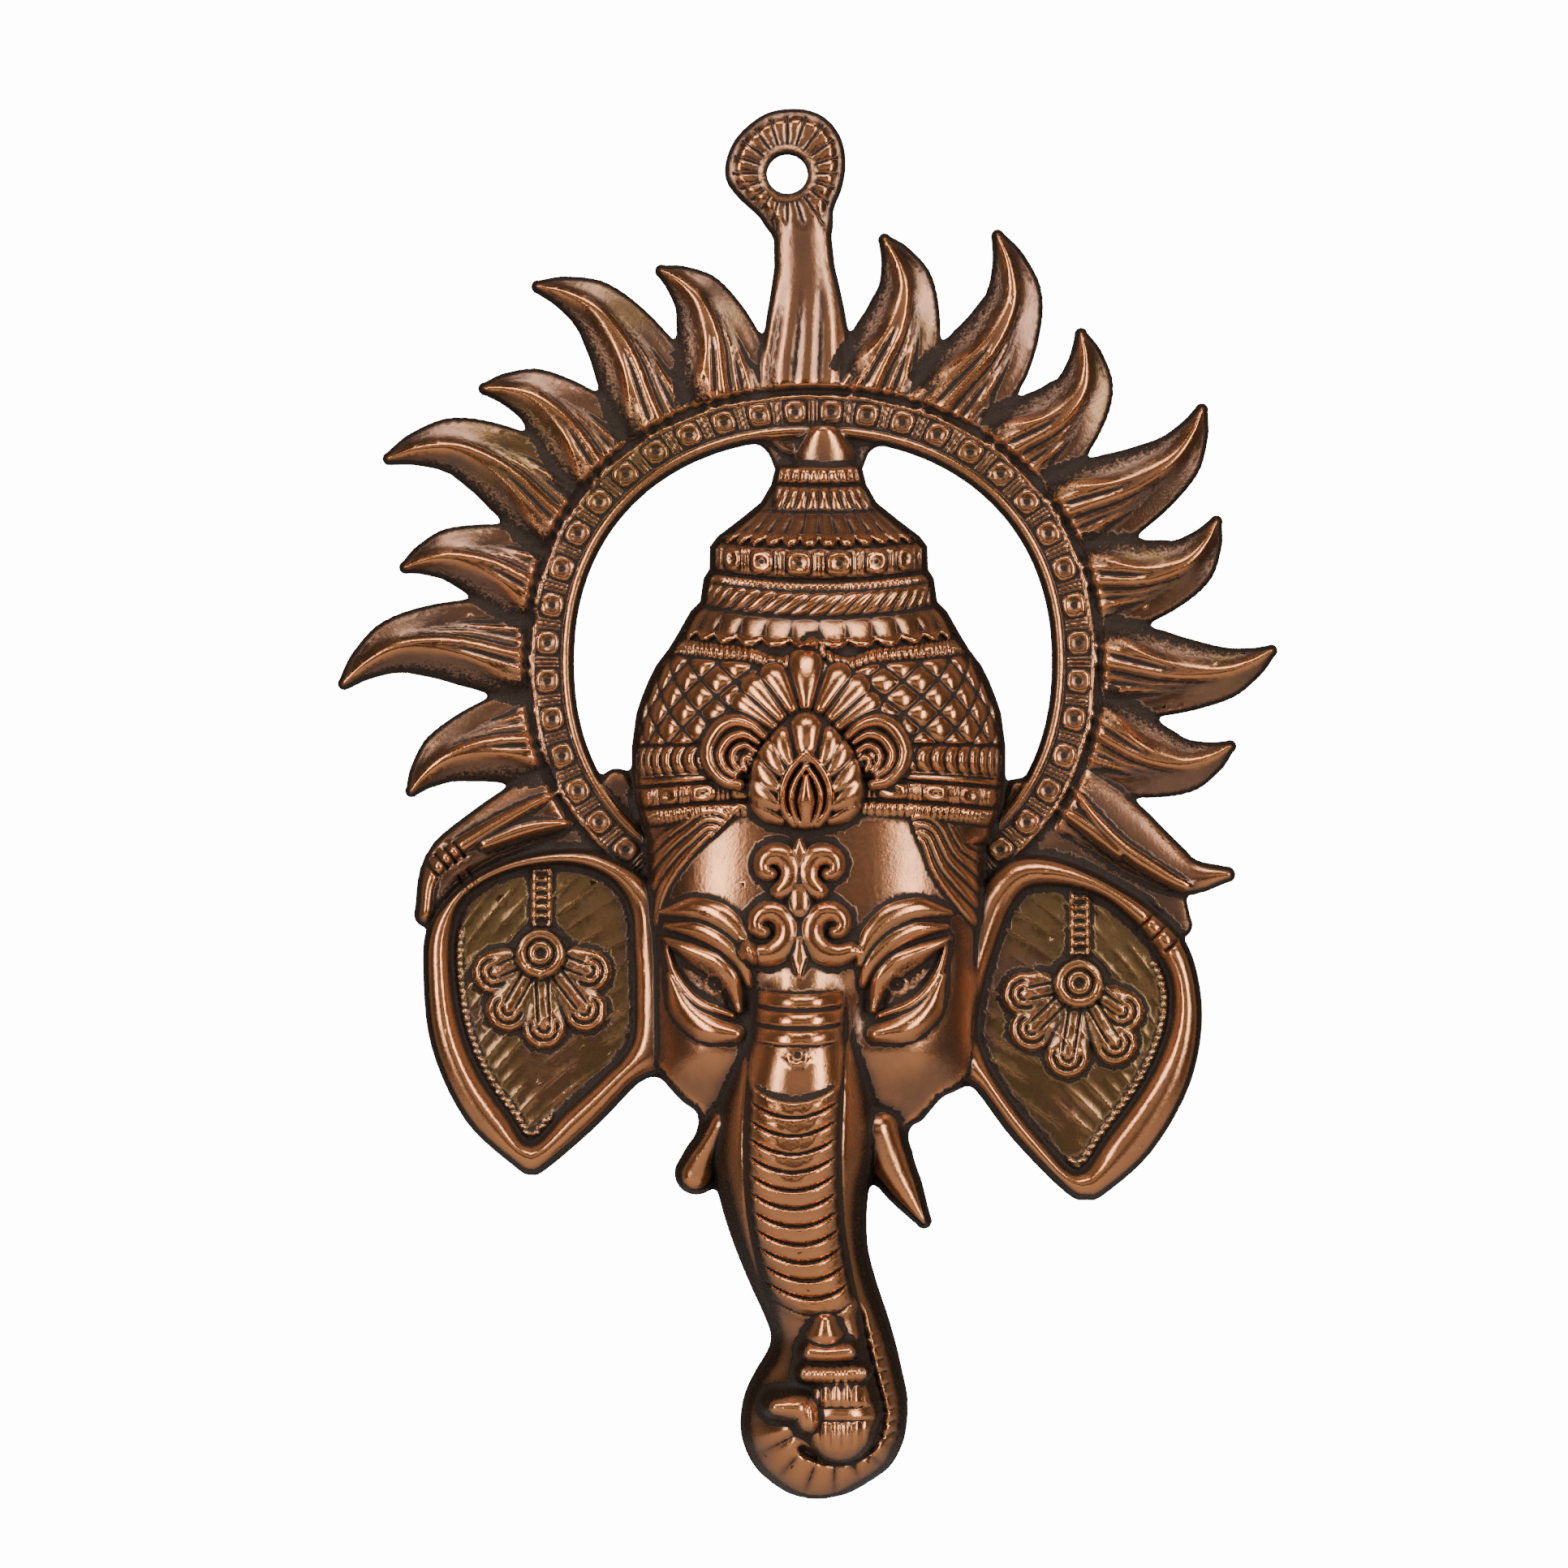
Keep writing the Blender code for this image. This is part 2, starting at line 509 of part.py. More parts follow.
def trunk(x, z):
    """Outline distance and relief of the trunk, its ringed front strip and its curl."""
    sides = through(TRUNK_SIDES)
    edge = outline_distance(x, z, np.vstack([sides[:, [1, 0]], sides[::-1, [2, 0]]]))
    left, right = read_off(TRUNK_SIDES, z)
    across = np.clip((2.0 * x - left - right) / (right - left), -1.0, 1.0)
    relief = read_off(TRUNK_CREST, z)[0] * (1.0 - np.abs(across) ** 2.3) ** 0.5

    # Front strip: three bars between lines, then the rings, bowed down in the middle
    here, share, side = beside(x, z, TRUNK_LINE, 10.0)
    t = side / spread(TRUNK_STRIP_WIDTHS, share)
    level = z[here]
    on_strip = ease((0.97 - np.abs(t)) / 0.12)
    bowed = level - 2.7 * t * t
    ring = (FIRST_RING - bowed) / RING_PITCH
    turn = ring - np.floor(ring)
    rings = 1.1 * dome(2.0 * turn - 1.0)
    ringed = ease((FIRST_RING - bowed) / 0.6) * ease((bowed - LAST_RING) / 3.0)
    carved = rings * ringed * on_strip
    for middle in BAR_LEVELS:
        from_bar = np.abs(level + 0.9 * (1.0 - t * t) - middle)
        carved = carved + 0.8 * ease((1.35 - from_bar) / 0.45) * on_strip
    carved = carved - 0.9 * ridge((np.abs(t) - 1.02) / 0.1) * ease((TRUNK_STRIP_START - level) / 2.0)
    relief[here] += carved * ease((level - LAST_RING + 1.0) / 4.0)
    return edge, curl(x, z, relief)


def curl(x, z, relief):
    """The groove inside the trunk's curl, and the sweet that its tip holds."""
    groove(x, z, relief, INNER_CURL, 1.3, 2.2)
    held = 0.0 * x
    for points, widths, rise, power in SWEET:
        stroke(x, z, held, points, widths, rise, power)
    return np.maximum(relief, held)


def tusks(x, z):
    """Outline distance and relief of the whole tusk and of the broken one."""
    edge = np.full(x.shape, FAR)
    relief = 0.0 * x
    for points, widths in TUSKS:
        here, share, side = beside(x, z, points, 8.0)
        half = spread(widths, share)
        edge[here] = np.minimum(edge[here], np.abs(side) - half)
        tusk = (13.0 - 4.0 * share) * dome(side / half) ** 0.8
        tusk = tusk - 0.6 * ridge((np.abs(share - 0.22) - 0.09) / 0.05)
        relief[here] = np.maximum(relief[here], tusk)
    return edge, relief


# Ears

EAR_OUTLINES = (
    ((-22.0, -136.0), (-26.0, -129.5), (-31.0, -126.3), (-37.1, -124.2), (-45.7, -124.7), (-53.9, -127.1),
     (-61.0, -131.6), (-66.3, -138.5), (-67.2, -147.0), (-65.7, -161.0), (-59.5, -174.5), (-50.5, -183.0),
     (-47.2, -184.7), (-44.0, -183.3), (-35.0, -175.5), (-27.5, -167.8), (-20.0, -162.0)),
    ((33.0, -137.0), (36.0, -130.5), (40.0, -126.6), (45.0, -125.2), (52.0, -126.5), (61.0, -130.8),
     (68.5, -136.0), (74.3, -143.0), (76.6, -155.0), (74.3, -168.0), (67.3, -180.3), (58.6, -188.2),
     (55.2, -189.3), (51.3, -187.9), (41.5, -178.0), (34.5, -168.8), (28.0, -163.0)),
)
DISH_OUTLINES = (
    ((-28.4, -142.0), (-29.0, -135.4), (-32.8, -130.1), (-39.5, -127.6), (-47.7, -128.0), (-54.8, -130.4),
     (-59.8, -134.3), (-61.6, -140.5), (-61.6, -148.0), (-60.1, -157.4), (-56.7, -166.0), (-51.5, -173.6),
     (-47.2, -178.7), (-41.0, -172.9), (-34.3, -166.7), (-28.8, -160.5), (-28.0, -152.0)),
    ((38.2, -143.0), (41.8, -134.3), (46.3, -131.3), (56.2, -132.8), (63.6, -138.2), (69.0, -145.2),
     (70.8, -151.1), (70.0, -158.5), (66.1, -167.4), (59.1, -177.3), (53.4, -184.0), (46.3, -177.3),
     (38.8, -167.4), (35.1, -159.0), (36.0, -151.0)),
)
# Middle of each earring's disc, and the middles of its petals' round ends
EARRINGS = (
    ((-45.4, -143.6), ((-53.9, -147.2), (-51.4, -154.0), (-44.8, -157.2), (-37.3, -154.0), (-36.5, -147.0))),
    ((53.7, -149.1), ((43.6, -151.2), (45.0, -157.6), (51.6, -162.6), (60.4, -160.2), (61.6, -154.4))),
)
RIM_WIDTH = 5.2


def ear(x, z, side):
    """Outline distance and relief of one dished ear with its earring."""
    edge = outline_distance(x, z, through(EAR_OUTLINES[side], closed=True))
    from_dish = outline_distance(x, z, through(DISH_OUTLINES[side], closed=True), 14.0)
    (dx, dz), petals = EARRINGS[side]
    outward = np.clip(-edge, 0.0, RIM_WIDTH)
    t = np.clip(from_dish, 0.0, None) / (np.clip(from_dish, 0.0, None) + outward + 1e-6)
    rim = 6.4 * np.where(t < 0.34, dome((t - 0.34) / 0.36), dome((t - 0.34) / 0.68) ** 0.9)
    floor = 2.0 + 0.5 * ease(-from_dish / 8.0)
    relief = np.where(from_dish > 0.0, np.maximum(rim, floor), floor)

    # Earring: ringed disc, a hanging strap above it and a fan of petals below
    layer = 0.0 * x
    for px, pz in petals:
        petal = ((dx + 0.3 * (px - dx), dz + 0.3 * (pz - dz)), (px, pz))
        stroke(x, z, layer, petal, (1.5, 2.6, 3.4), 2.4)
    away = np.hypot(x - dx, z - dz)
    disc = np.maximum(2.0 * ease((4.5 - away) / 0.5), 1.8 + 1.2 * dome((away - 3.7) / 0.9))
    disc = np.maximum(disc * (away < 4.6), (1.8 + 1.1 * dome((away - 1.6) / 0.8)) * (away < 2.6))
    layer = np.maximum(layer, disc)
    stroke(x, z, layer, ((dx + 0.2, dz + 15.2), (dx + 0.1, dz + 5.0)), (1.7, 1.7), 1.4)
    return edge, relief + layer * ease(-from_dish / 0.6)


# The whole casting

BROW_LEVEL = -164.0
# Levels that the crown's, the face's and the trunk's part of the hollow run between
HOLLOW_CROWN = (-124.0, -64.0)
HOLLOW_FACE = (-187.0, -116.0)
HOLLOW_TRUNK = (-232.0, -142.0)
HOLLOW_TRUNK_HALF = 11.0
# A grid point nearer to the outline than this share of a step is taken to lie on it
SNAP = 0.12


def figure(x, z):
    """Outline distance and relief of the whole front, in drawing units."""
    edge, relief = halo(x, z)
    for side in (0, 1):
        part_edge, part_relief = ear(x, z, side)
        edge = soft_min(edge, part_edge, 1.0)
        shown = ease(0.15 - part_edge / 1.2)
        relief = np.maximum(relief * (1.0 - ease((-part_edge - 0.5) / 1.5)), part_relief * shown)
    for part in (crown, face, trunk, tusks):
        part_edge, part_relief = part(x, z)
        edge = soft_min(edge, part_edge, 2.2)
        shown = ease(0.1 - part_edge / 0.9)
        blend = 0.7
        if part is trunk:
            blend = 0.7 + 2.4 * ease((z - BROW_LEVEL) / 12.0)
        relief = soft_max(relief, part_relief * shown, blend)
    return edge, relief * ease(0.3 - edge / 1.2)


def between(z, levels):
    """Whether each point lies between two levels."""
    return (z > levels[0]) & (z < levels[1])


def head_form(x, z):
    """Broad form of the head alone, without its carving: the hollow follows it."""
    half = crown_half_width(z)
    dome_of_crown = (1.0 + 0.55 * half) * dome((x - CROWN_MIDDLE) / half) * between(z, HOLLOW_CROWN)
    cheeks = face_body(x, z) * between(z, HOLLOW_FACE)
    off = follow(x, z, through(TRUNK_LINE))[1]
    nose = (read_off(TRUNK_CREST, z)[0] - 1.0) * dome(off / HOLLOW_TRUNK_HALF) * between(z, HOLLOW_TRUNK)
    return np.maximum(np.maximum(dome_of_crown, cheeks), nose)


def hollow(columns, rows):
    """Depth of the hollow in the back: the head's form, shrunk by the wall all round."""
    x, z = np.meshgrid(columns, rows, indexing="ij")
    form = head_form(x, z)
    form = np.where(form > 0.0, EDGE + RELIEF_UNIT * form, 0.0)
    step = (columns[1] - columns[0]) * UNIT
    reach = int(math.ceil(WALL / step))
    padded = np.pad(form, reach)
    depth = form - WALL
    for i in range(-reach, reach + 1):
        for j in range(-reach, reach + 1):
            away = math.hypot(i, j) * step
            if 0.0 < away <= WALL:
                shifted = padded[reach + i:reach + i + form.shape[0], reach + j:reach + j + form.shape[1]]
                depth = np.minimum(depth, shifted - math.sqrt(WALL ** 2 - away ** 2))
    return np.clip(depth - HOLLOW_BRINK, 0.0, None)


def clipped_sheet(columns, rows, edge):
    """Triangles of a square grid, cut off where the edge distance turns positive.

    Returns the points in the plane, how each is mixed from two grid points, and
    the faces.
    """
    wide, tall = edge.shape
    flat = edge.ravel()
    flat = np.where(np.abs(flat) < SNAP * (columns[1] - columns[0]), 0.0, flat)
    index = np.arange(wide * tall).reshape(wide, tall)
    a, b = index[:-1, :-1].ravel(), index[1:, :-1].ravel()
    c, d = index[1:, 1:].ravel(), index[:-1, 1:].ravel()
    odd = ((a // tall + a % tall) % 2).astype(bool)
    first = np.where(odd[:, None], np.column_stack([a, b, c]), np.column_stack([a, b, d]))
    second = np.where(odd[:, None], np.column_stack([a, c, d]), np.column_stack([b, c, d]))
    triangles = np.vstack([first, second])
    inside = flat[triangles] <= 0.0
    solid = (flat[triangles] < 0.0).any(axis=1)
    faces = [tuple(face) for face in triangles[inside.all(axis=1) & solid].tolist()]
    pairs = {}

    def crossing(i, j):
        """The new point where the outline cuts the line between two grid points."""
        return pairs.setdefault((min(i, j), max(i, j)), wide * tall + len(pairs))

    for corners in triangles[~inside.all(axis=1) & solid].tolist():
        kept = []
        for i, j in zip(corners, corners[1:] + corners[:1]):
            if flat[i] <= 0.0:
                kept.append(i)
            if flat[i] * flat[j] < 0.0:
                kept.append(crossing(i, j))
        faces += [(kept[0], kept[k], kept[k + 1]) for k in range(1, len(kept) - 1)]
    grid = np.arange(wide * tall)
    one = np.concatenate([grid, np.array([i for i, _ in pairs], int)])
    other = np.concatenate([grid, np.array([j for _, j in pairs], int)])
    share = np.zeros(len(one))
    share[wide * tall:] = [flat[i] / (flat[i] - flat[j]) for i, j in pairs]
    used = np.unique(np.array(faces))
    renumber = np.zeros(len(one), int)
    renumber[used] = np.arange(len(used))
    return one[used], other[used], share[used], renumber[np.array(faces)]


def casting_mesh():
    """The closed mesh of the casting: carved front, hollow back and side walls."""
    step = GRID_STEP / UNIT
    columns = np.arange(*DRAWN_X, step)
    rows = np.arange(*DRAWN_Z, step)
    x, z = np.meshgrid(columns, rows, indexing="ij")
    edge, relief = (field.reshape(x.shape) for field in figure(x.ravel(), z.ravel()))
    first, second, share, faces = clipped_sheet(columns, rows, edge)

    def mixed(field):
        """A grid field's values at the points of the clipped sheet."""
        values = field.ravel()
        return values[first] * (1.0 - share) + values[second] * share

    plan_x, plan_z = mixed(x) * UNIT, mixed(z) * UNIT
    front = EDGE + RELIEF_UNIT * np.clip(mixed(relief), 0.0, None)
    back = np.minimum(mixed(hollow(columns, rows)), front - LEAST_WALL)
    count = len(front)
    points = np.vstack([np.column_stack([plan_x, -front, plan_z]),
                        np.column_stack([plan_x, -np.clip(back, 0.0, None), plan_z])])
    rim = boundary_edges(faces)
    walls = [(j, i, i + count, j + count) for i, j in rim]
    mesh = bpy.data.meshes.new(NAME)
    mesh.from_pydata(points.tolist(), [], faces.tolist() + (faces[:, ::-1] + count).tolist() + walls)
    return mesh


def boundary_edges(faces):
    """The directed edges that only one face uses."""
    pairs = np.vstack([faces[:, [0, 1]], faces[:, [1, 2]], faces[:, [2, 0]]])
    key = np.sort(pairs, axis=1)
    _, first, counts = np.unique(key, axis=0, return_index=True, return_counts=True)
    return pairs[first[counts == 1]].tolist()


def copper():
    """Antique copper plating on the casting."""
    material = bpy.data.materials.new("antique_copper")
    material.use_nodes = True
    shader = material.node_tree.nodes["Principled BSDF"]
    shader.inputs["Base Color"].default_value = COPPER
    shader.inputs["Metallic"].default_value = 1.0
    shader.inputs["Roughness"].default_value = 0.35
    return material


def thinned(source):
    """The casting with few faces on flat metal and most of them in the carving."""
    draft = bpy.data.objects.new("draft", source)
    bpy.context.scene.collection.objects.link(draft)
    decimate = draft.modifiers.new("thin", 'DECIMATE')
    source.calc_loop_triangles()
    decimate.ratio = TRIANGLES / len(source.loop_triangles)
    bpy.context.view_layer.update()
    view = bpy.context.evaluated_depsgraph_get()
    mesh = bpy.data.meshes.new_from_object(draft.evaluated_get(view))
    bpy.data.objects.remove(draft)
    for vertex in mesh.vertices:
        if vertex.co.y > -FLAT_BACK:
            vertex.co.y = 0.0
    return mesh


def nail_hole_cutter(collection):
    """The round hole that the nail goes through."""
    bpy.ops.mesh.primitive_cylinder_add(vertices=32, radius=NAIL_HOLE / 2, depth=3 * RELIEF,
                                        rotation=(math.pi / 2, 0.0, 0.0))
    cutter = bpy.context.object
    cutter.name = "nail_hole_cutter"
    cutter.hide_render = True
    cutter.display_type = 'WIRE'
    for holder in cutter.users_collection:
        holder.objects.unlink(cutter)
    collection.objects.link(cutter)
    return cutter


def main():
    """Builds the casting in a collection of its own, and its cutter in another."""
    for item in list(bpy.data.objects):
        bpy.data.objects.remove(item)
    parts = bpy.data.collections.new("ganesha wall hanging")
    cutters = bpy.data.collections.new("cutters")
    for collection in (parts, cutters):
        bpy.context.scene.collection.children.link(collection)
    casting = bpy.data.objects.new(NAME, thinned(casting_mesh()))
    parts.objects.link(casting)
    casting.data.materials.append(copper())
    cut = casting.modifiers.new("nail hole", 'BOOLEAN')
    cut.operation = 'DIFFERENCE'
    cut.solver = 'EXACT'
    cut.object = nail_hole_cutter(cutters)


main()
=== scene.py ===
# %% [markdown]
# # A Ganesha wall hanging in antique copper
#
# The real object is one metal casting: an elephant head under a tall crown, in front
# of a ring of flames, with a loop on top that hangs on a nail. It is plated with
# copper, darkened all over, and then rubbed bright on its high places.
#
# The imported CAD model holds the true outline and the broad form. This notebook carves
# the fine relief over that form, gives it its finish, and lights it.

import math

import bmesh
import bpy
import numpy as np
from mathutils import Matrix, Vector


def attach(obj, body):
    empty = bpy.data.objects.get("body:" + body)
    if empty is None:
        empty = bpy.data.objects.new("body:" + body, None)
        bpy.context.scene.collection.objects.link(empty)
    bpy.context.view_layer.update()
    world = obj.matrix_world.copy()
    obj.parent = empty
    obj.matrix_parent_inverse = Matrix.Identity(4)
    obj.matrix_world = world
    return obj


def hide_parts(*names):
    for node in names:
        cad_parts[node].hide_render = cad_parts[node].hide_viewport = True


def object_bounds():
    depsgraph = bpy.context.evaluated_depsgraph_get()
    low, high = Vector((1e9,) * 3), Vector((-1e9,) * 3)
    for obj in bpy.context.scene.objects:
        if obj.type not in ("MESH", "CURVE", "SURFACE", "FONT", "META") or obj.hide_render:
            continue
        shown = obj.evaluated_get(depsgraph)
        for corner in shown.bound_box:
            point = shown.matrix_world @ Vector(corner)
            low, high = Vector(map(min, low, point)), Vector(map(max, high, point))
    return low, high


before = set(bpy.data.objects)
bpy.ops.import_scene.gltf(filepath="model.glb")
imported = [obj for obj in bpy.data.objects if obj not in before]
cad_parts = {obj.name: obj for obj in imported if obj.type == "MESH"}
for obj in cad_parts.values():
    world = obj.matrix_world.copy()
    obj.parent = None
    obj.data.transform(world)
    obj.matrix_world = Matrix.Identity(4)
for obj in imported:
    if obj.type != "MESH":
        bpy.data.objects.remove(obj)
cad_box = [list(corner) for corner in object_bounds()]
print("packed pieces:", sorted(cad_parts))
print("box of the packed model in metres:", cad_box)

# %% [markdown]
# ## The carving as a height field
#
# A relief like this could be sculpted by hand, modelled with hundreds of curves, or
# worked out as a height over every point of the wall. The last one is chosen: each
# form is a small function that answers two questions for a point (x, z), how far it
# is from the form's outline and how high the metal stands there. Heights of several
# forms are then merged, as clay is pressed together.
#
# Drawings are in units of a 256.5th of the height, from the middle of the nail hole.

# %% Sizes
HEIGHT = 0.2565
RELIEF = 0.028
EDGE = 0.0022
WALL = 0.0035
LEAST_WALL = 0.6 * WALL
HOLLOW_BRINK = 0.001
NAIL_HOLE = 0.0075
UNIT = HEIGHT / 256.5
RELIEF_UNIT = (RELIEF - EDGE) / 25.8
# The drawn range, in drawing units
DRAWN_X = (-85.0, 92.0)
DRAWN_Z = (-247.0, 15.0)
print("one drawing unit is", round(UNIT * 1000, 3), "mm")

# %% [markdown]
# Profiles are what a carver's chisels leave: a dome is a half round, a ridge has soft
# feet, and lobes repeat like a row of petals. The soft blends stop two forms from
# meeting in a hard crease.

# %% Blends and profiles
FAR = 60.0


def ease(t):
    """0 below 0, 1 above 1, and a smooth rise between."""
    t = np.clip(t, 0.0, 1.0)
    return t * t * (3.0 - 2.0 * t)


def soft_min(a, b, blend):
    """The smaller of two values, rounded over where they cross."""
    share = np.clip(0.5 + 0.5 * (b - a) / blend, 0.0, 1.0)
    return b + (a - b) * share - blend * share * (1.0 - share)


def soft_max(a, b, blend):
    """The larger of two values, rounded over where they cross."""
    return -soft_min(-a, -b, blend)


def dome(t):
    """A half round: 1 in the middle, 0 at t = -1 and t = 1."""
    return np.sqrt(np.clip(1.0 - t * t, 0.0, 1.0))


def ridge(t):
    """A soft ridge: 1 in the middle, 0 beyond t = -1 and t = 1."""
    return np.clip(1.0 - t * t, 0.0, 1.0) ** 2


def lobes(t):
    """A row of round lobes, one for each whole number."""
    return np.abs(np.sin(math.pi * t))


print("a quarter of the way in from its foot, an ease stands at", float(ease(0.25)))
print("and a dome at", round(float(dome(0.75)), 3))

# %% [markdown]
# A smooth curve through a few chosen points is enough for a flame or an eyelid. The
# spline below passes through each of its points, so a position seen on the real
# object goes in as it is.

# %% Curves
def through(points, closed=False, steps=5):
    """A smooth curve through a few points, as an array of many."""
    p = np.array(points, float)
    if closed:
        p = np.vstack([p[-1:], p, p[:2]])
    else:
        p = np.vstack([2 * p[0] - p[1], p, 2 * p[-1] - p[-2]])
    t = (np.arange(steps) / steps)[:, None]
    spans = []
    for a, b, c, d in zip(p[:-3], p[1:-2], p[2:-1], p[3:]):
        spans.append(b + 0.5 * t * (c - a + t * (2 * a - 5 * b + 4 * c - d + t * (3 * b - 3 * c + d - a))))
    if not closed:
        spans.append(p[-2:-1])
    return np.vstack(spans)


def read_off(table, level):
    """Values that pass smoothly through the rows of a table, at the given levels."""
    curve = through(sorted(table))
    return [np.interp(level, curve[:, 0], column) for column in curve[:, 1:].T]


print("a curve through 3 points has", len(through(((0, 0), (1, 1), (2, 0)))), "points")

# %% [markdown]
# Most of the carving is strokes: a line with a width that swells and fades. Each one
# is worked out only for the grid points beside it, which keeps the whole figure
# quick to compute. A coarse sample of each finished form tells its size.

# %% Strokes and grooves
def near(x, z, curve, margin):
    """Which points lie within a margin of a curve's bounding box."""
    low, high = curve.min(axis=0) - margin, curve.max(axis=0) + margin
    return np.flatnonzero((x > low[0]) & (x < high[0]) & (z > low[1]) & (z < high[1]))


def follow(x, z, curve):
    """How far along a curve each point lies, as a share, and how far to its left."""
    gap = np.full(x.shape, np.inf)
    along = np.zeros(x.shape)
    side = np.zeros(x.shape)
    start = 0.0
    for (ax, az), (bx, bz) in zip(curve[:-1], curve[1:]):
        dx, dz = bx - ax, bz - az
        length = math.hypot(dx, dz)
        t = np.clip(((x - ax) * dx + (z - az) * dz) / length ** 2, 0.0, 1.0)
        reach = np.hypot(x - ax - t * dx, z - az - t * dz)
        nearer = reach < gap
        gap = np.where(nearer, reach, gap)
        along = np.where(nearer, start + t * length, along)
        side = np.where(nearer, np.copysign(reach, dx * (z - az) - dz * (x - ax)), side)
        start += length
    return along / start, side


def outline_distance(x, z, outline, margin=8.0):
    """Distance to a closed outline: negative inside it, positive outside."""
    result = np.full(x.shape, FAR)
    here = near(x, z, outline, margin)
    px, pz = x[here], z[here]
    inside = np.zeros(px.shape, bool)
    for (ax, az), (bx, bz) in zip(outline, np.roll(outline, -1, axis=0)):
        if az != bz:
            inside ^= ((az > pz) != (bz > pz)) & (px < (bx - ax) * (pz - az) / (bz - az) + ax)
    gap = np.abs(follow(px, pz, np.vstack([outline, outline[:1]]))[1])
    result[here] = np.where(inside, -gap, gap)
    return result


def spread(widths, share):
    """A width that passes through the given ones at even steps along a stroke."""
    return np.interp(share, np.linspace(0.0, 1.0, len(widths)), widths)


def beside(x, z, curve, margin):
    """Which points lie beside a curve, their share of the way along it, and how far to its left."""
    here = near(x, z, curve, margin)
    share, side = follow(x[here], z[here], curve)
    return here, share, side


def stroke(x, z, layer, points, widths, rise, power=0.5):
    """Raises a rounded stroke into a layer of carving, along a smooth line."""
    here, share, side = beside(x, z, through(points), max(widths))
    t = side / spread(widths, share)
    layer[here] = np.maximum(layer[here], rise * np.clip(1.0 - t * t, 0.0, 1.0) ** power)


def groove(x, z, relief, points, half, depth):
    """Cuts a soft groove into the relief, along a smooth line."""
    here, share, side = beside(x, z, through(points), half)
    ends = ease(12.0 * share) * ease(12.0 * (1.0 - share))
    relief[here] -= depth * ridge(side / half) * ends


SAMPLE_STEP = 3.0
SAMPLES = np.meshgrid(np.arange(*DRAWN_X, SAMPLE_STEP), np.arange(*DRAWN_Z, SAMPLE_STEP))


def tell(name, form, *more):
    """Prints how wide, tall and high a form is, in drawing units, from a coarse sample."""
    sample_x, sample_z = (axis.ravel() for axis in SAMPLES)
    edge, relief = form(sample_x, sample_z, *more)
    inside = edge < 0.0
    wide, tall = float(np.ptp(sample_x[inside])), float(np.ptp(sample_z[inside]))
    print(name + ": about", wide, "wide,", tall, "tall and", round(float(relief[inside].max()), 1), "high")

# %% [markdown]
# The same oblong bead, with a dimple in it and two bars before the next one, goes
# round the ring and twice round the crown.

# %% Beads
def beads(along, across):
    """Height of a row of dimpled beads with two bars between each pair, one per unit along."""
    u = 2.0 * np.abs(along - np.floor(along) - 0.5)
    oblong = ease((1.0 - (u / 0.64) ** 3 - np.abs(across / 0.95) ** 3) / 0.4)
    dimple = ridge(np.hypot(u / 0.44, across / 0.62))
    bars = ridge((u - 0.79) / 0.085) + ridge((u - 0.985) / 0.085)
    return 0.85 * oblong - 0.6 * dimple + 0.65 * bars * ease((1.0 - np.abs(across)) / 0.15)

# %% [markdown]
# ## Ring and flames
#
# The ring is an oval band with a round lip and a row of beads. Fourteen flames stand
# on it, and each leans over at its tip, so one shape is turned round the ring and
# given its own foot, tip and reach. Two more flames lie over the tops of the ears.

# %% Sizes of the halo
LOOP_OUTLINE = (
    (2.2, 12.1), (6.8, 10.6), (9.8, 7.0), (10.8, 2.4), (10.2, -2.2), (8.6, -6.4), (7.8, -11.0),
    (2.5, -14.0), (-2.8, -11.0), (-5.4, -7.6), (-8.9, -4.4), (-11.3, -1.0), (-11.2, 3.0), (-8.9, 7.4),
    (-3.8, 11.3),
)
STEM = ((2.6, -8.0), (3.2, -18.0), (3.5, -28.0), (3.4, -44.0))
STEM_WIDTHS = (5.2, 5.6, 7.3, 8.6, 8.6)

OPENING_MIDDLE = (4.75, -90.0)
OPENING_HALF = (44.1, 41.2)
OPENING_POWER = 2.2
BAND_WIDTH = 7.6
ROOT_WIDTH = 12.0
RING_BEADS = 44
LOOP_SPOKES = 20

FLAME_MIDDLE = (5.7, -89.4)
FLAME_FOOT = 48.0
# Angle of the foot, angle of the tip and reach of each flame, clockwise from the top
FLAMES = (
    (13.2, 9.0, 79.5), (28.5, 23.0, 86.0), (44.6, 39.0, 78.3), (60.8, 57.0, 85.6),
    (75.6, 71.0, 78.9), (92.0, 89.0, 84.8), (106.2, 102.0, 78.9),
    (-18.3, -22.0, 78.4), (-32.4, -37.0, 87.2), (-47.2, -51.0, 80.4), (-59.6, -65.0, 88.6),
    (-74.3, -77.5, 79.2), (-88.2, -93.0, 88.8), (-104.8, -108.0, 80.1),
)
# Share of the way to the tip, sideways swing as a share of the lean, half width
FLAME_SHAPE = (
    (0.0, -0.35, 9.0), (0.22, -0.05, 8.8), (0.42, 0.16, 8.0), (0.6, 0.16, 6.4),
    (0.76, -0.02, 4.8), (0.9, -0.5, 2.8), (1.0, -1.0, 1.2),
)
# Where each flute starts across the foot, and the share of the way at which it joins the crest
FLUTES = ((0.72, 0.42), (0.46, 0.58), (0.04, 0.8), (-0.22, 0.7), (-0.5, 0.6), (-0.76, 0.46))
EAR_FLAMES = (
    ((-33.0, -110.0), (-44.0, -115.8), (-55.0, -122.0), (-63.0, -128.0), (-66.4, -136.5)),
    ((47.0, -112.0), (58.0, -118.8), (66.0, -124.8), (73.5, -129.4), (81.2, -129.2)),
)
EAR_FLAME_WIDTHS = ((7.0, 6.6, 5.8, 4.9, 2.5), (7.0, 6.6, 6.0, 4.4, 1.5))
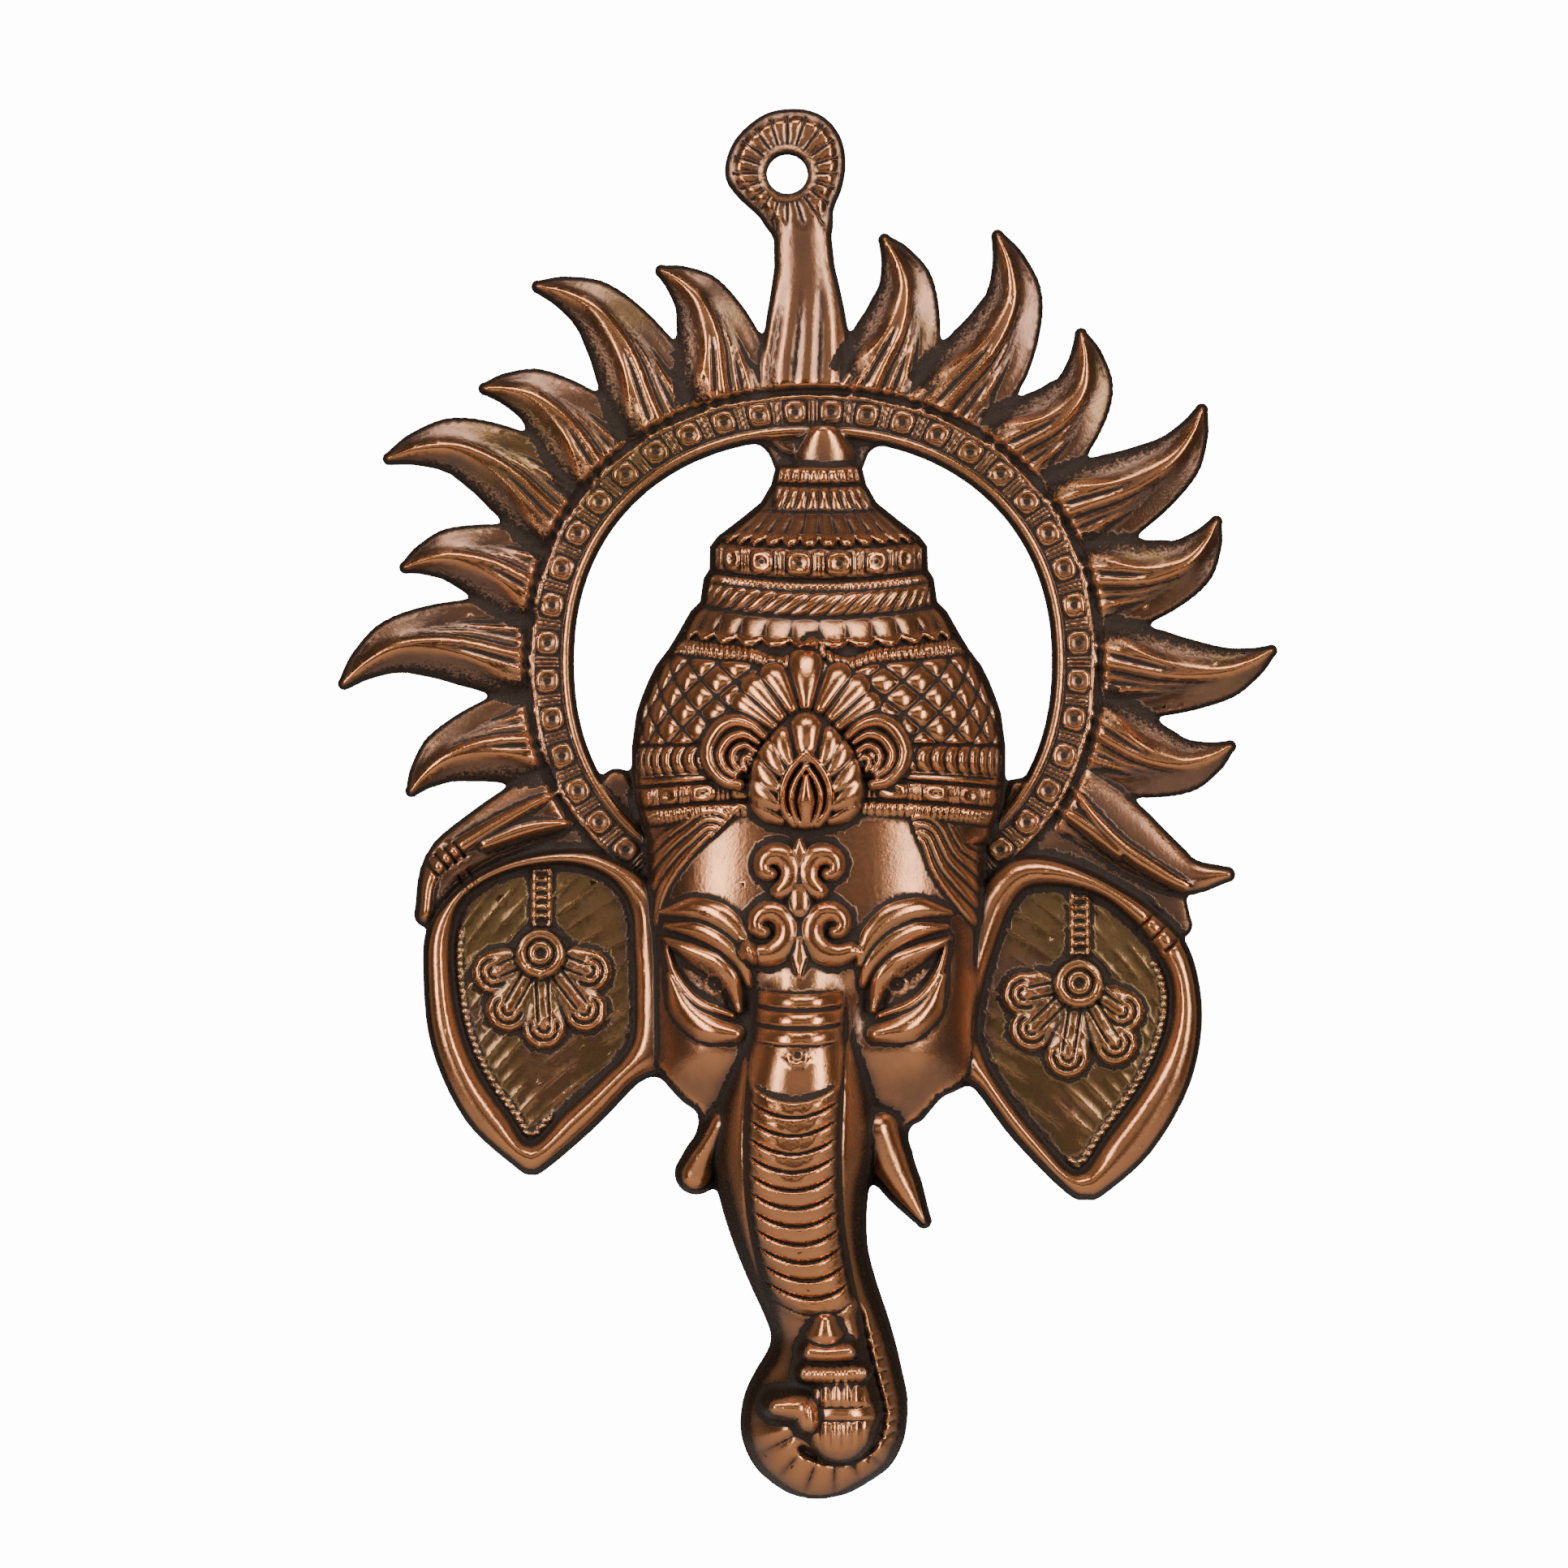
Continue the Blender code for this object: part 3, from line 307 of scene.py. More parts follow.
# Plain metal that joins the ears, the ring and the crown: points and half widths
WEBS = (
    (((50.0, -124.5), (60.0, -128.0), (69.0, -132.5), (72.4, -138.5)), (2.5, 4.5, 4.0, 2.4)),
    (((-50.0, -122.0), (-58.0, -126.5), (-64.5, -133.0)), (2.5, 3.0, 2.0)),
    (((-36.0, -121.5), (-43.0, -122.8), (-50.0, -125.5)), (2.2, 2.4, 2.4)),
    (((-31.5, -112.5), (-29.5, -118.0)), (2.9, 3.5)),
    (((42.5, -113.5), (42.0, -118.0)), (2.0, 3.0)),
)
EAR_FLAME_RIDGES = (
    ((-41.9, -113.8), (-49.1, -117.4), (-56.3, -121.5), (-62.8, -125.9), (-66.0, -130.6), (-66.6, -136.4)),
    ((-39.0, -119.6), (-47.7, -120.9), (-55.5, -123.6)),
    ((52.6, -113.2), (57.1, -119.4), (62.1, -124.5), (69.0, -129.1), (73.5, -131.6)),
    ((49.0, -116.4), (55.2, -120.4), (61.0, -125.2)),
)
print("flames on the ring:", len(FLAMES), "and beads on its band:", RING_BEADS)

# %% [markdown]
# A flame has one rounded crest that hooks over with its tip. Flutes run up from its
# foot and fade as they near the crest, like grain in carved wood.

# %% Flames
def flame_curve(foot, tip, reach):
    """Middle line of one flame: out from the ring, then hooked over at its tip."""
    points = []
    for share, swing, _ in FLAME_SHAPE:
        angle = math.radians(foot + swing * (foot - tip))
        radius = FLAME_FOOT + share * (reach - 1.2 - FLAME_FOOT)
        points.append((FLAME_MIDDLE[0] + radius * math.sin(angle),
                       FLAME_MIDDLE[1] + radius * math.cos(angle)))
    return through(points)


def flame_relief(share, across):
    """Soft crest of a flame, and the flutes that run into it from the foot."""
    crest = 0.30 - 0.24 * ease(1.15 * share)
    t = np.where(across > crest, (across - crest) / (1.0 - crest), (crest - across) / (1.0 + crest))
    body = 2.7 * (1.0 - np.clip(t, 0.0, 1.0) ** 1.6) ** 0.85
    body = (body + 1.3 * np.exp(-((across - crest) / 0.34) ** 2)) * (1.0 - 0.25 * ease((share - 0.6) / 0.4))
    for start, merge in FLUTES:
        run = np.clip(1.0 - share / merge, 0.0, 1.0)
        line = crest + (start - 0.30) * (0.45 + 0.55 * run)
        tooth = 0.7 * ridge((across - line) / 0.15) - 0.5 * ridge((across - line + 0.17) / 0.1)
        body = body + tooth * ease(1.8 * run)
    return body

# %% Flames round the ring
def ring_flames(x, z, edge, relief):
    """Merges the flames into the halo's outline and relief."""
    stations, _, halves = zip(*FLAME_SHAPE)
    for flame in FLAMES:
        here, share, side = beside(x, z, flame_curve(*flame), 12.0)
        half = np.interp(share, stations, halves)
        edge[here] = soft_min(edge[here], np.abs(side) - half, 1.8)
        carved = flame_relief(share, side / half)
        relief[here] = np.maximum(relief[here], carved * (np.abs(side) < half))


def ear_flames(x, z, edge, relief):
    """Merges the two flames over the ears, with their long ribs."""
    for points, widths in zip(EAR_FLAMES, EAR_FLAME_WIDTHS):
        here, share, side = beside(x, z, through(points), 12.0)
        half = spread(widths, share)
        edge[here] = soft_min(edge[here], np.abs(side) - half, 1.6)
        relief[here] = np.maximum(relief[here], 3.0 * dome(side / half))
    ribs = 0.0 * x
    for points in EAR_FLAME_RIDGES:
        stroke(x, z, ribs, points, (0.5, 1.4, 1.7, 1.3), 1.2, 0.9)
    relief += ribs

# %% [markdown]
# The stem is fluted like a flame. The ring is cut by a groove at the flames' feet, and
# carries the band of beads and a round lip on its inner side. The loop is a disc with
# spokes and a raised lip round the hole.

# %% Stem, ring and loop
def stem(x, z):
    """Outline distance and relief of the stem between the loop and the ring."""
    share, side = follow(x, z, through(STEM))
    half = spread(STEM_WIDTHS, share)
    across = side / half
    flutes = 0.6 * lobes(1.9 * across + 0.6 * share) * ease((share - 0.25) / 0.4)
    return np.abs(side) - half, np.where(np.abs(across) < 1.0, 3.2 * dome(across) + flutes, 0.0)


def ring_band(dx, dz, from_gap, relief):
    """The relief with the ring's beaded band and inner lip laid over it."""
    relief = relief - 2.2 * ridge((from_gap - BAND_WIDTH - 1.0) / 1.4)
    around = np.arctan2(dx, dz) / (2.0 * math.pi)
    band = 1.9 + beads(RING_BEADS * around, (from_gap - 4.9) / 2.3)
    band = np.maximum(band, 1.3 + 1.6 * dome((from_gap - 1.3) / 1.3))
    band = np.maximum(band, 1.7 + 0.8 * dome((from_gap - 7.7) / 0.5))
    on_band = ease((BAND_WIDTH + 0.6 - from_gap) / 0.7)
    return np.maximum(relief * (1.0 - on_band) + band * on_band, 0.4)


def loop(x, z, edge, relief):
    """The outline and relief with the hanging loop added at the top."""
    from_edge = outline_distance(x, z, through(LOOP_OUTLINE, closed=True))
    from_hole = np.hypot(x, z)
    spokes = lobes(LOOP_SPOKES * np.arctan2(x, z) / (2.0 * math.pi))
    disc = 2.4 * ease(-from_edge / 3.0) + 0.3
    disc = disc - 0.7 * (1.0 - ease(spokes / 0.45)) * ease((from_hole - 4.9) / 1.0) * ease(-from_edge)
    disc = np.maximum(disc, 1.2 + 1.9 * dome((from_hole - 4.4) / 1.3))
    on_loop = ease(-from_edge / 0.8) * ease((z + 11.0) / 4.0)
    return soft_min(edge, from_edge, 1.0), relief * (1.0 - on_loop) + disc * on_loop

# %% [markdown]
# The halo brings these together. The distance to the opening in the ring's middle is
# that of a slightly squared oval, which is what the real ring looks like.

# %% Halo
def halo(x, z):
    """Outline distance and relief of the loop, stem, ring and flames."""
    dx, dz = x - OPENING_MIDDLE[0], z - OPENING_MIDDLE[1]
    rim = (np.abs(dx / OPENING_HALF[0]) ** OPENING_POWER
           + np.abs(dz / OPENING_HALF[1]) ** OPENING_POWER) ** (1.0 / OPENING_POWER) + 1e-9
    from_gap = np.hypot(dx, dz) * (1.0 - 1.0 / rim)
    edge = np.abs(from_gap - ROOT_WIDTH / 2) - ROOT_WIDTH / 2
    relief = 0.7 + 0.0 * x
    ring_flames(x, z, edge, relief)
    ear_flames(x, z, edge, relief)
    edge = np.maximum(edge, -from_gap)
    for points, widths in WEBS:
        here, share, side = beside(x, z, through(points), 8.0)
        edge[here] = soft_min(edge[here], np.abs(side) - spread(widths, share), 1.6)
    stem_edge, stem_relief = stem(x, z)
    edge = soft_min(edge, stem_edge, 1.6)
    relief = ring_band(dx, dz, from_gap, np.maximum(relief, stem_relief))
    edge, relief = loop(x, z, edge, relief)
    return edge, relief * ease(0.25 - edge / 1.5)


tell("loop, ring and flames", halo)

# %% [markdown]
# ## Crown
#
# The crown is turned work: bands, skirts and a lattice round a tall dome. Its side
# profile is a short table, and every band is a level on that profile with its own
# height and its own number of ribs.

# %% Sizes of the crown
CROWN_MIDDLE = 5.8
# Level and half width of the crown's outline, from the ring down to the headband
CROWN_PROFILE = (
    (-46.0, 12.5), (-48.8, 10.9), (-51.5, 9.2), (-54.3, 8.1), (-57.2, 8.8), (-60.5, 10.7), (-63.5, 14.4),
    (-66.7, 18.6), (-68.6, 20.1), (-72.8, 20.2), (-74.6, 21.3), (-78.8, 21.9), (-80.6, 23.7),
    (-84.5, 25.9), (-87.5, 27.7), (-90.5, 30.0), (-93.5, 31.5), (-96.5, 32.7), (-99.5, 33.7),
    (-105.5, 34.5), (-110.0, 34.5), (-116.0, 34.0), (-121.0, 32.5), (-124.0, 31.5),
)
FINIAL = ((6.8, -54.4), (6.8, -51.4), (6.7, -48.4), (6.5, -45.4))
FINIAL_WIDTHS = (6.0, 5.9, 4.6, 1.2)
COLLAR_END = -62.0
COLLAR_HALF = 9.5
# How far each level of the crown dips in the middle of the front
CROWN_SAG = (
    (-121.0, -2.7), (-110.0, -1.5), (-104.0, 0.0), (-88.0, 2.5), (-78.0, 2.2), (-70.0, 1.4), (-55.0, 0.3),
)
# Level of each band's middle, half its height, how far it stands out, lobes round it and their slant
CROWN_BANDS = (
    (-55.5, 1.4, 1.2, 13, 0.0), (-59.5, 2.1, 1.5, 15, 0.0), (-70.6, 2.6, 0.9, 0, 0.0),
    (-74.3, 0.8, 0.8, 60, 0.0), (-108.6, 3.0, 2.3, 33, 0.45), (-112.2, 0.9, 0.7, 0, 0.0),
    (-115.4, 1.9, 0.6, 0, 0.0), (-119.0, 1.5, 1.3, 70, 0.0),
)
# Top and bottom level of each flared skirt, its petals and how far it stands out
SKIRTS = ((-61.4, -67.4, 17, 1.5), (-79.6, -84.9, 15, 1.7))
# Level, half height and length of each bead on the bands that carry beads
BEADED_BANDS = ((-70.6, 2.1, 7.4), (-115.4, 1.7, 9.2))
# Level and half height of the rope, and its strands round the front
ROPE = (-77.2, 2.2)
ROPE_STRANDS = 21
PALMETTE_MIDDLE = 3.4
# Leaves of the palmette on its right side, mirrored to the left: points, half widths and rise
FAN = (
    (((0.0, -98.6), (0.0, -94.4), (0.0, -90.6)), (1.3, 2.6, 3.4), 2.2),
    (((2.3, -99.2), (4.2, -95.6), (6.0, -92.6)), (1.2, 2.1, 2.7), 2.1),
    (((4.1, -100.8), (6.9, -97.6), (9.4, -94.8)), (1.2, 2.0, 2.6), 2.0),
    (((5.9, -102.0), (8.8, -99.8), (11.6, -97.7)), (1.1, 1.8, 2.3), 1.9),
)
VOLUTE = (
    (((7.6, -103.8), (9.9, -101.8), (13.0, -100.9), (16.0, -102.4), (18.0, -106.2), (17.2, -109.6),
      (14.8, -112.0), (12.2, -112.6)), (0.9, 1.4, 1.7, 1.6, 1.4, 1.1), 2.6),
    (((8.6, -105.0), (11.3, -103.4), (14.0, -104.2), (15.7, -107.0), (14.8, -109.6), (13.0, -110.9)),
     (0.6, 1.1, 1.2, 1.1, 0.9), 2.4),
    (((9.2, -106.6), (11.2, -105.4), (13.1, -106.4), (13.4, -108.4), (12.2, -110.0)),
     (0.6, 0.95, 0.9, 0.8), 2.2),
    (((9.6, -108.2), (11.0, -107.6), (11.5, -108.8), (11.0, -109.9)), (0.5, 0.8, 0.7), 2.0),
)
CARTOUCHE_OUTLINE = (
    (0.0, -98.8), (3.4, -100.1), (5.4, -102.4), (8.0, -105.2), (9.8, -108.8), (10.6, -112.8),
    (10.2, -116.8), (7.4, -119.9), (0.0, -121.0),
)
CARTOUCHE_RISE = 2.4
CARTOUCHE_LEAVES = (
    (((0.0, -108.0), (0.0, -104.8), (0.0, -102.0)), (1.5, 2.2, 2.7), 1.4),
    (((3.1, -108.6), (4.4, -105.8), (5.0, -103.6)), (1.1, 1.8, 1.9), 1.5),
    (((4.4, -110.4), (6.0, -108.3), (7.4, -106.0)), (1.1, 1.9, 1.9), 1.5),
    (((5.0, -113.4), (7.2, -111.6), (9.2, -109.5)), (1.1, 2.0, 2.0), 1.5),
    (((5.2, -116.6), (7.5, -115.0), (9.8, -113.2)), (1.1, 2.0, 2.0), 1.5),
    (((4.6, -119.2), (7.0, -118.2), (9.0, -116.8)), (0.9, 1.5, 1.3), 1.2),
    (((0.0, -106.8), (2.9, -109.9), (4.4, -113.6), (4.0, -117.2), (2.2, -120.2)),
     (0.6, 0.75, 0.8, 0.7), 2.0),
    (((0.2, -109.4), (1.9, -112.0), (2.7, -114.8), (2.2, -117.8), (1.0, -120.2)), (0.5, 0.65, 0.6), 1.7),
    (((0.0, -120.2), (0.0, -115.8), (0.0, -111.2)), (0.9, 1.8, 0.6), 1.9),
)
LATTICE_STEP = (8.0, 6.6)
print("bands on the crown:", len(CROWN_BANDS), "and leaves in its palmette:", 2 * len(FAN) - 1)

# %% [markdown]
# Ribs are counted by the angle round the dome, so they crowd together towards the
# sides as they do on a round object.

# %% Bands, skirts and lattice
def crown_half_width(z):
    """Half width of the crown at each level."""
    return read_off(CROWN_PROFILE, z)[0]


def crown_body(x, z):
    """The crown's broad form, and the coordinates that its bands follow."""
    across = np.clip((x - CROWN_MIDDLE) / crown_half_width(z), -1.0, 1.0)
    level = z + read_off(CROWN_SAG, z)[0] * (1.0 - across * across)
    half = crown_half_width(level)
    across = np.clip((x - CROWN_MIDDLE) / half, -1.0, 1.0)
    return (1.0 + 0.55 * half) * dome(across) ** 0.85, level, np.arcsin(across), half


def crown_bands(x, level, turn, girth):
    """Height of the crown's ribbed and beaded bands, and of its rope."""
    layer = 0.0 * x
    for middle, tall, stand, count, slant in CROWN_BANDS:
        t = (level - middle) / tall
        rib = 0.3 + 0.7 * lobes(count * turn / math.pi + slant * (1.0 - t * t)) ** 0.6 if count else 1.0
        if middle > COLLAR_END:
            rib = rib * ease((COLLAR_HALF - np.abs(x - FINIAL[0][0])) / 1.2)
        layer = layer + stand * dome(t) * rib - 0.4 * ridge((np.abs(t) * tall - tall - 0.25) / 0.35)
    for middle, tall, pitch in BEADED_BANDS:
        layer = layer + beads(girth / pitch, (level - middle) / tall)
    t = (level - ROPE[0]) / ROPE[1]
    return layer + dome(t) * (0.7 + np.sqrt(lobes(ROPE_STRANDS * turn / math.pi - 0.8 * t)))


def skirts(level, turn):
    """Height of the two flared skirts of petals."""
    layer = 0.0 * level
    for top, bottom, petals, stand in SKIRTS:
        lobe = lobes(petals * turn / math.pi)
        t = (top - level) / (top - bottom - 0.7 + 1.1 * lobe)
        skirt = stand * (0.1 + 0.9 * t) * (0.3 + 0.7 * lobe ** 0.8) + 0.5 * ridge((t - 0.86) / 0.13)
        layer = layer + np.where((t > 0.0) & (t < 1.0), skirt, 0.0)
    return layer


def lattice(x, level, girth):
    """Height of the diamond lattice of cushioned pads, and of the dipping ribbed row above it."""
    off = np.abs(x - PALMETTE_MIDDLE - 1.2)
    dip = -1.7 * np.exp(-((off - 6.4) / 3.2) ** 2) + 2.4 * np.exp(-(off / 2.4) ** 2)
    row = 1.9 * dome((level + 86.8 - dip) / 1.5) * (0.4 + 0.6 * lobes(girth / 1.35) ** 0.6)
    one = lobes(girth / LATTICE_STEP[0] + level / LATTICE_STEP[1])
    two = lobes(girth / LATTICE_STEP[0] - level / LATTICE_STEP[1])
    on_dome = ease((level + 105.6) / 0.6) * ease((dip - 88.2 - level) / 0.6)
    return row + 1.5 * (one * two) ** 0.4 * on_dome

# %% [markdown]
# The crown's own outline is its side profile, mirrored. Its finial is a pointed cone
# that stands in front of the ring.

# %% Crown
def crown(x, z):
    """Outline distance and relief of the crown: stacked bands, lattice and palmette."""
    side = [(CROWN_MIDDLE + half, level) for level, half in CROWN_PROFILE]
    other = [(CROWN_MIDDLE - half, level) for level, half in reversed(CROWN_PROFILE)]
    edge = outline_distance(x, z, np.array(side + other))
    base, level, turn, half = crown_body(x, z)
    girth = turn * half
    relief = (base + crown_bands(x, level, turn, girth)) * ease((-53.4 - z) / 0.8)
    finial = 0.0 * x
    stroke(x, z, finial, FINIAL, FINIAL_WIDTHS, 4.6, 0.55)
    relief = np.maximum(relief, finial * (z > FINIAL[0][1]))
    relief = relief + skirts(level, turn) + lattice(x, level, girth)
    return edge, palmette(x, z, relief, base)

# %% [markdown]
# The front of the crown bears a palmette: a fan of petals over a leafy pad with an
# almond in it, between two volutes. It is drawn once for the right side and mirrored.

# %% Palmette
def palmette(x, z, relief, base):
    """Fan of petals over a leafy cartouche with a pointed almond, between two volutes."""
    out = np.abs(x - PALMETTE_MIDDLE)
    fan = 0.0 * x
    for points, widths, rise in FAN + VOLUTE:
        stroke(out, z, fan, points, widths, rise, 0.55)
    shown = ease(fan / 0.9)
    relief = relief * (1.0 - shown) + (base + 0.2 + 1.1 * fan) * shown
    right = np.array(CARTOUCHE_OUTLINE)
    left = right[::-1] * (-1.0, 1.0)
    inward = -outline_distance(x - PALMETTE_MIDDLE, z, through(np.vstack([right, left[1:-1]]), closed=True))
    leaves = 0.0 * x
    for points, widths, rise in CARTOUCHE_LEAVES:
        stroke(out, z, leaves, points, widths, rise, 0.45)
    pad = base + 0.3 + CARTOUCHE_RISE * dome(1.0 - np.clip(inward / 6.5, 0.0, 1.0)) + leaves
    shown = ease(inward / 0.3)
    return relief * (1.0 - shown) + pad * shown - 0.5 * ridge(inward / 0.4)


tell("crown", crown)

# %% [markdown]
# ## Face
#
# The brow is broad and bulges, the eyes slant down towards the trunk under folded
# brows, and locks of hair fan from the headband to the temples. The brow bears a
# raised ornament of two pairs of volutes, with a bud above them and a drop below.

# %% Sizes of the face
FACE_OUTLINE = (
    (-25.5, -117.0), (-26.0, -132.5), (-26.0, -147.5), (-25.0, -161.0), (-23.3, -166.5), (-19.5, -171.0),
    (-16.5, -173.5), (-12.5, -181.0), (2.0, -187.0), (15.5, -182.0), (22.5, -176.0), (25.0, -174.5),
    (28.5, -170.5), (32.5, -168.0), (34.5, -161.0), (35.5, -147.5), (36.5, -132.5), (37.0, -117.0),
)
FACE_MIDDLE = 5.2
FACE_HALF = 31.2
FACE_DEPTH = ((-187.0, 3.0), (-178.0, 7.0), (-168.0, 12.5), (-157.0, 16.5), (-140.0, 18.5), (-116.0, 19.5))
EYE_MIDDLE = 3.4
EYE = (17.6, -149.0)
# Sine of 45 degrees, the slant of the eyes
EYE_SLANT = 0.7071
# Ridges about the right eye, mirrored to the left: points, half widths and rise
EYE_RIDGES = (
    (((26.3, -136.0), (20.6, -135.3), (15.4, -137.0), (11.6, -140.6), (9.7, -145.2)),
     (0.6, 2.2, 2.7, 2.2, 0.8), 1.7),
    (((25.6, -138.6), (19.8, -139.2), (15.2, -141.6), (12.0, -145.0), (10.4, -149.0)),
     (0.6, 1.9, 2.3, 2.0, 0.8), 1.6),
    (((26.2, -140.8), (20.8, -143.4), (16.6, -145.6), (13.6, -148.8), (12.2, -153.8)),
     (0.6, 1.9, 2.6, 2.2, 0.8), 2.8),
    (((25.8, -141.6), (24.0, -147.4), (19.8, -152.2), (13.4, -154.8)), (0.5, 1.1, 1.2, 0.7), 1.8),
    (((25.0, -147.6), (22.4, -153.4), (18.0, -156.8), (12.8, -158.0)), (0.8, 2.7, 3.2, 1.8), 2.0),
)
HAIR_MARKS = (
    ((-14.0, -122.5), (-18.5, -127.3), (-22.0, -133.0), (-23.8, -140.0)),
    ((24.2, -123.5), (26.2, -129.0), (30.2, -134.5), (35.0, -140.0)),
)
SCROLL_MIDDLE = 2.2
# Volutes of the forehead ornament: middle, start and end angle, inner and outer radius
SCROLL_VOLUTES = (((6.1, -138.6), -2.2, 4.2, 1.0, 5.4), ((5.0, -128.0), -1.2, 4.4, 0.9, 4.2))
# Strokes on the ornament's middle line: points, half widths and rise
SCROLL_STEM = (
    (((0.0, -127.6), (0.0, -124.8), (0.0, -122.6)), (1.0, 2.0, 0.5), 1.9),
    (((0.0, -135.0), (0.0, -131.8)), (2.4, 2.4), 2.1),
    (((0.0, -147.4), (0.0, -144.4), (0.0, -140.8)), (0.5, 1.9, 1.2), 1.9),
)
print("strokes round each eye:", len(EYE_RIDGES))

# %% [markdown]
# Each eye is a shallow socket with a ball in it, and lids laid over as strokes.

# %% Face
def face_body(x, z):
    """The broad form of the forehead and cheeks."""
    across = np.clip((x - FACE_MIDDLE) / FACE_HALF, -1.0, 1.0)
    return read_off(FACE_DEPTH, z)[0] * (1.0 - np.abs(across) ** 2.6) ** 0.55


def eyes(x, z, relief):
    """The relief with the sockets, eyeballs, lids and brows of both eyes."""
    out = np.abs(x - EYE_MIDDLE)
    dx, dz = out - EYE[0], z - EYE[1]
    along, over = (dx + dz) * EYE_SLANT, (dz - dx) * EYE_SLANT
    relief = relief - 3.0 * np.exp(-(along / 8.0) ** 2 - (over / 4.6) ** 2)
    relief = relief - 2.2 * np.exp(-((out - 11.0) / 3.2) ** 2 - ((z + 152.5) / 5.0) ** 2)
    relief = relief + 1.1 * dome(np.clip(np.hypot((along - 0.6) / 5.6, (over + 0.6) / 2.2), 0.0, 1.0))
    relief = relief + 1.3 * np.exp(-((out - 19.0) / 7.0) ** 2 - ((z + 162.5) / 6.0) ** 2)
    lids = 0.0 * x
    for points, widths, rise in EYE_RIDGES:
        stroke(out, z, lids, points, widths, rise, 0.9)
    iris = np.hypot(dx + 1.0, dz)
    return relief + lids + 0.5 * ridge((iris - 1.7) / 0.6) + 0.5 * ridge(iris / 0.8)


def hair(x, z, relief):
    """Adds the locks of hair that fan down from the headband to the temples."""
    for mark, way in zip(HAIR_MARKS, (1.0, -1.0)):
        here, share, side = beside(x, z, through(mark), 14.0)
        behind = -side * way
        lock = ease(behind / 0.8) * ease((z[here] + 141.0) / 4.0)
        relief[here] += lock * (0.3 + 0.8 * lobes(behind / (0.7 + 0.6 * share) / 2.1))


def scroll(x, z, relief):
    """A double volute with a bud and a drop on the forehead, mirrored about the middle line."""
    out = np.abs(x - SCROLL_MIDDLE)
    layer = 0.0 * x
    for (cx, cz), start, end, inner, outer in SCROLL_VOLUTES:
        turn = np.linspace(start, end, 16)
        radius = np.linspace(outer, inner, 16)
        spiral = np.column_stack([cx - radius * np.cos(turn), cz + radius * np.sin(turn)])
        stroke(out, z, layer, spiral, (1.9, 2.7, 2.5, 2.1, 1.4), 2.3, 0.65)
    for points, widths, rise in SCROLL_STEM:
        stroke(out, z, layer, points, widths, rise)
    return relief + layer


def face(x, z):
    """Outline distance and relief of the forehead, cheeks and eyes."""
    edge = outline_distance(x, z, through(FACE_OUTLINE, closed=True))
    relief = eyes(x, z, face_body(x, z))
    hair(x, z, relief)
    return edge, scroll(x, z, relief)


tell("face", face)

# %% [markdown]
# ## Trunk and tusks
#
# The trunk swings to the left, then to the right, and curls round a ribbed sweet. One
# tusk is whole and the other is broken off, as tradition has it.

# %% Sizes of the trunk
# Level, left edge and right edge of the trunk
TRUNK_SIDES = (
    (-140.0, -5.0, 11.0), (-150.0, -7.3, 13.0), (-158.0, -9.2, 14.4), (-165.0, -11.4, 15.8),
    (-173.0, -13.4, 16.8), (-180.0, -14.0, 16.6), (-186.0, -13.2, 15.3), (-192.0, -11.7, 14.7),
    (-198.5, -9.5, 15.0), (-205.0, -6.8, 16.7), (-210.0, -4.5, 18.4), (-214.0, -3.1, 19.6),
    (-217.0, -3.6, 20.4), (-221.0, -6.0, 21.3), (-225.5, -8.0, 22.2), (-230.5, -8.7, 22.1),
    (-234.5, -8.0, 21.2), (-238.5, -6.0, 18.9), (-241.5, -2.8, 14.8), (-243.5, 0.5, 11.0), (-244.4, 4.0, 7.0),
)
TRUNK_CREST = (
    (-244.4, 8.0), (-241.0, 12.5), (-237.0, 15.5), (-230.0, 18.0), (-221.0, 18.4), (-213.0, 19.2),
    (-205.0, 21.2), (-195.0, 23.2), (-185.0, 24.6), (-175.0, 25.0), (-165.0, 24.2), (-158.0, 22.6),
    (-150.0, 20.2), (-143.0, 17.8), (-138.0, 15.0),
)
TRUNK_LINE = (
    (3.0, -140.0), (2.5, -150.0), (1.5, -165.0), (0.9, -180.0), (1.7, -193.0), (4.2, -205.0), (7.2, -213.0),
)
TRUNK_STRIP_WIDTHS = (7.8, 8.4, 8.5, 8.5, 8.4, 8.0, 7.2)
TRUNK_STRIP_START = 148.0
TRUNK_STRIP_END = 212.0
FIRST_RING = 170.0
LAST_RING = 211.0
RING_BOW = 3.3
RING_PITCH = 3.3
BAR_LEVELS = (151.2, 154.5, 157.8)
DROP = (1.8, -161.6)
CURL_MIDDLE = (8.6, -227.0)
INNER_CURL = (
    (12.6, -206.8), (13.8, -212.2), (14.9, -217.6), (15.9, -221.6), (17.0, -225.6), (17.3, -228.6),
    (16.4, -232.2), (13.6, -234.9), (9.0, -236.0), (4.5, -235.0), (0.8, -232.4),
)
TUSKS = (
    (((-12.0, -175.0), (-15.4, -180.7), (-16.8, -184.3)), (3.4, 3.1, 4.0)),
    (((16.5, -176.0), (18.9, -182.3), (22.1, -188.0), (25.2, -193.1)), (5.0, 4.7, 3.5, 1.5)),
)
print("rings down the trunk:", int((LAST_RING - FIRST_RING) / RING_PITCH))

# %% [markdown]
# A strip down the trunk's front carries three bars, a small drop, and then the rings,
# each a rounded step that is bowed down in the middle.

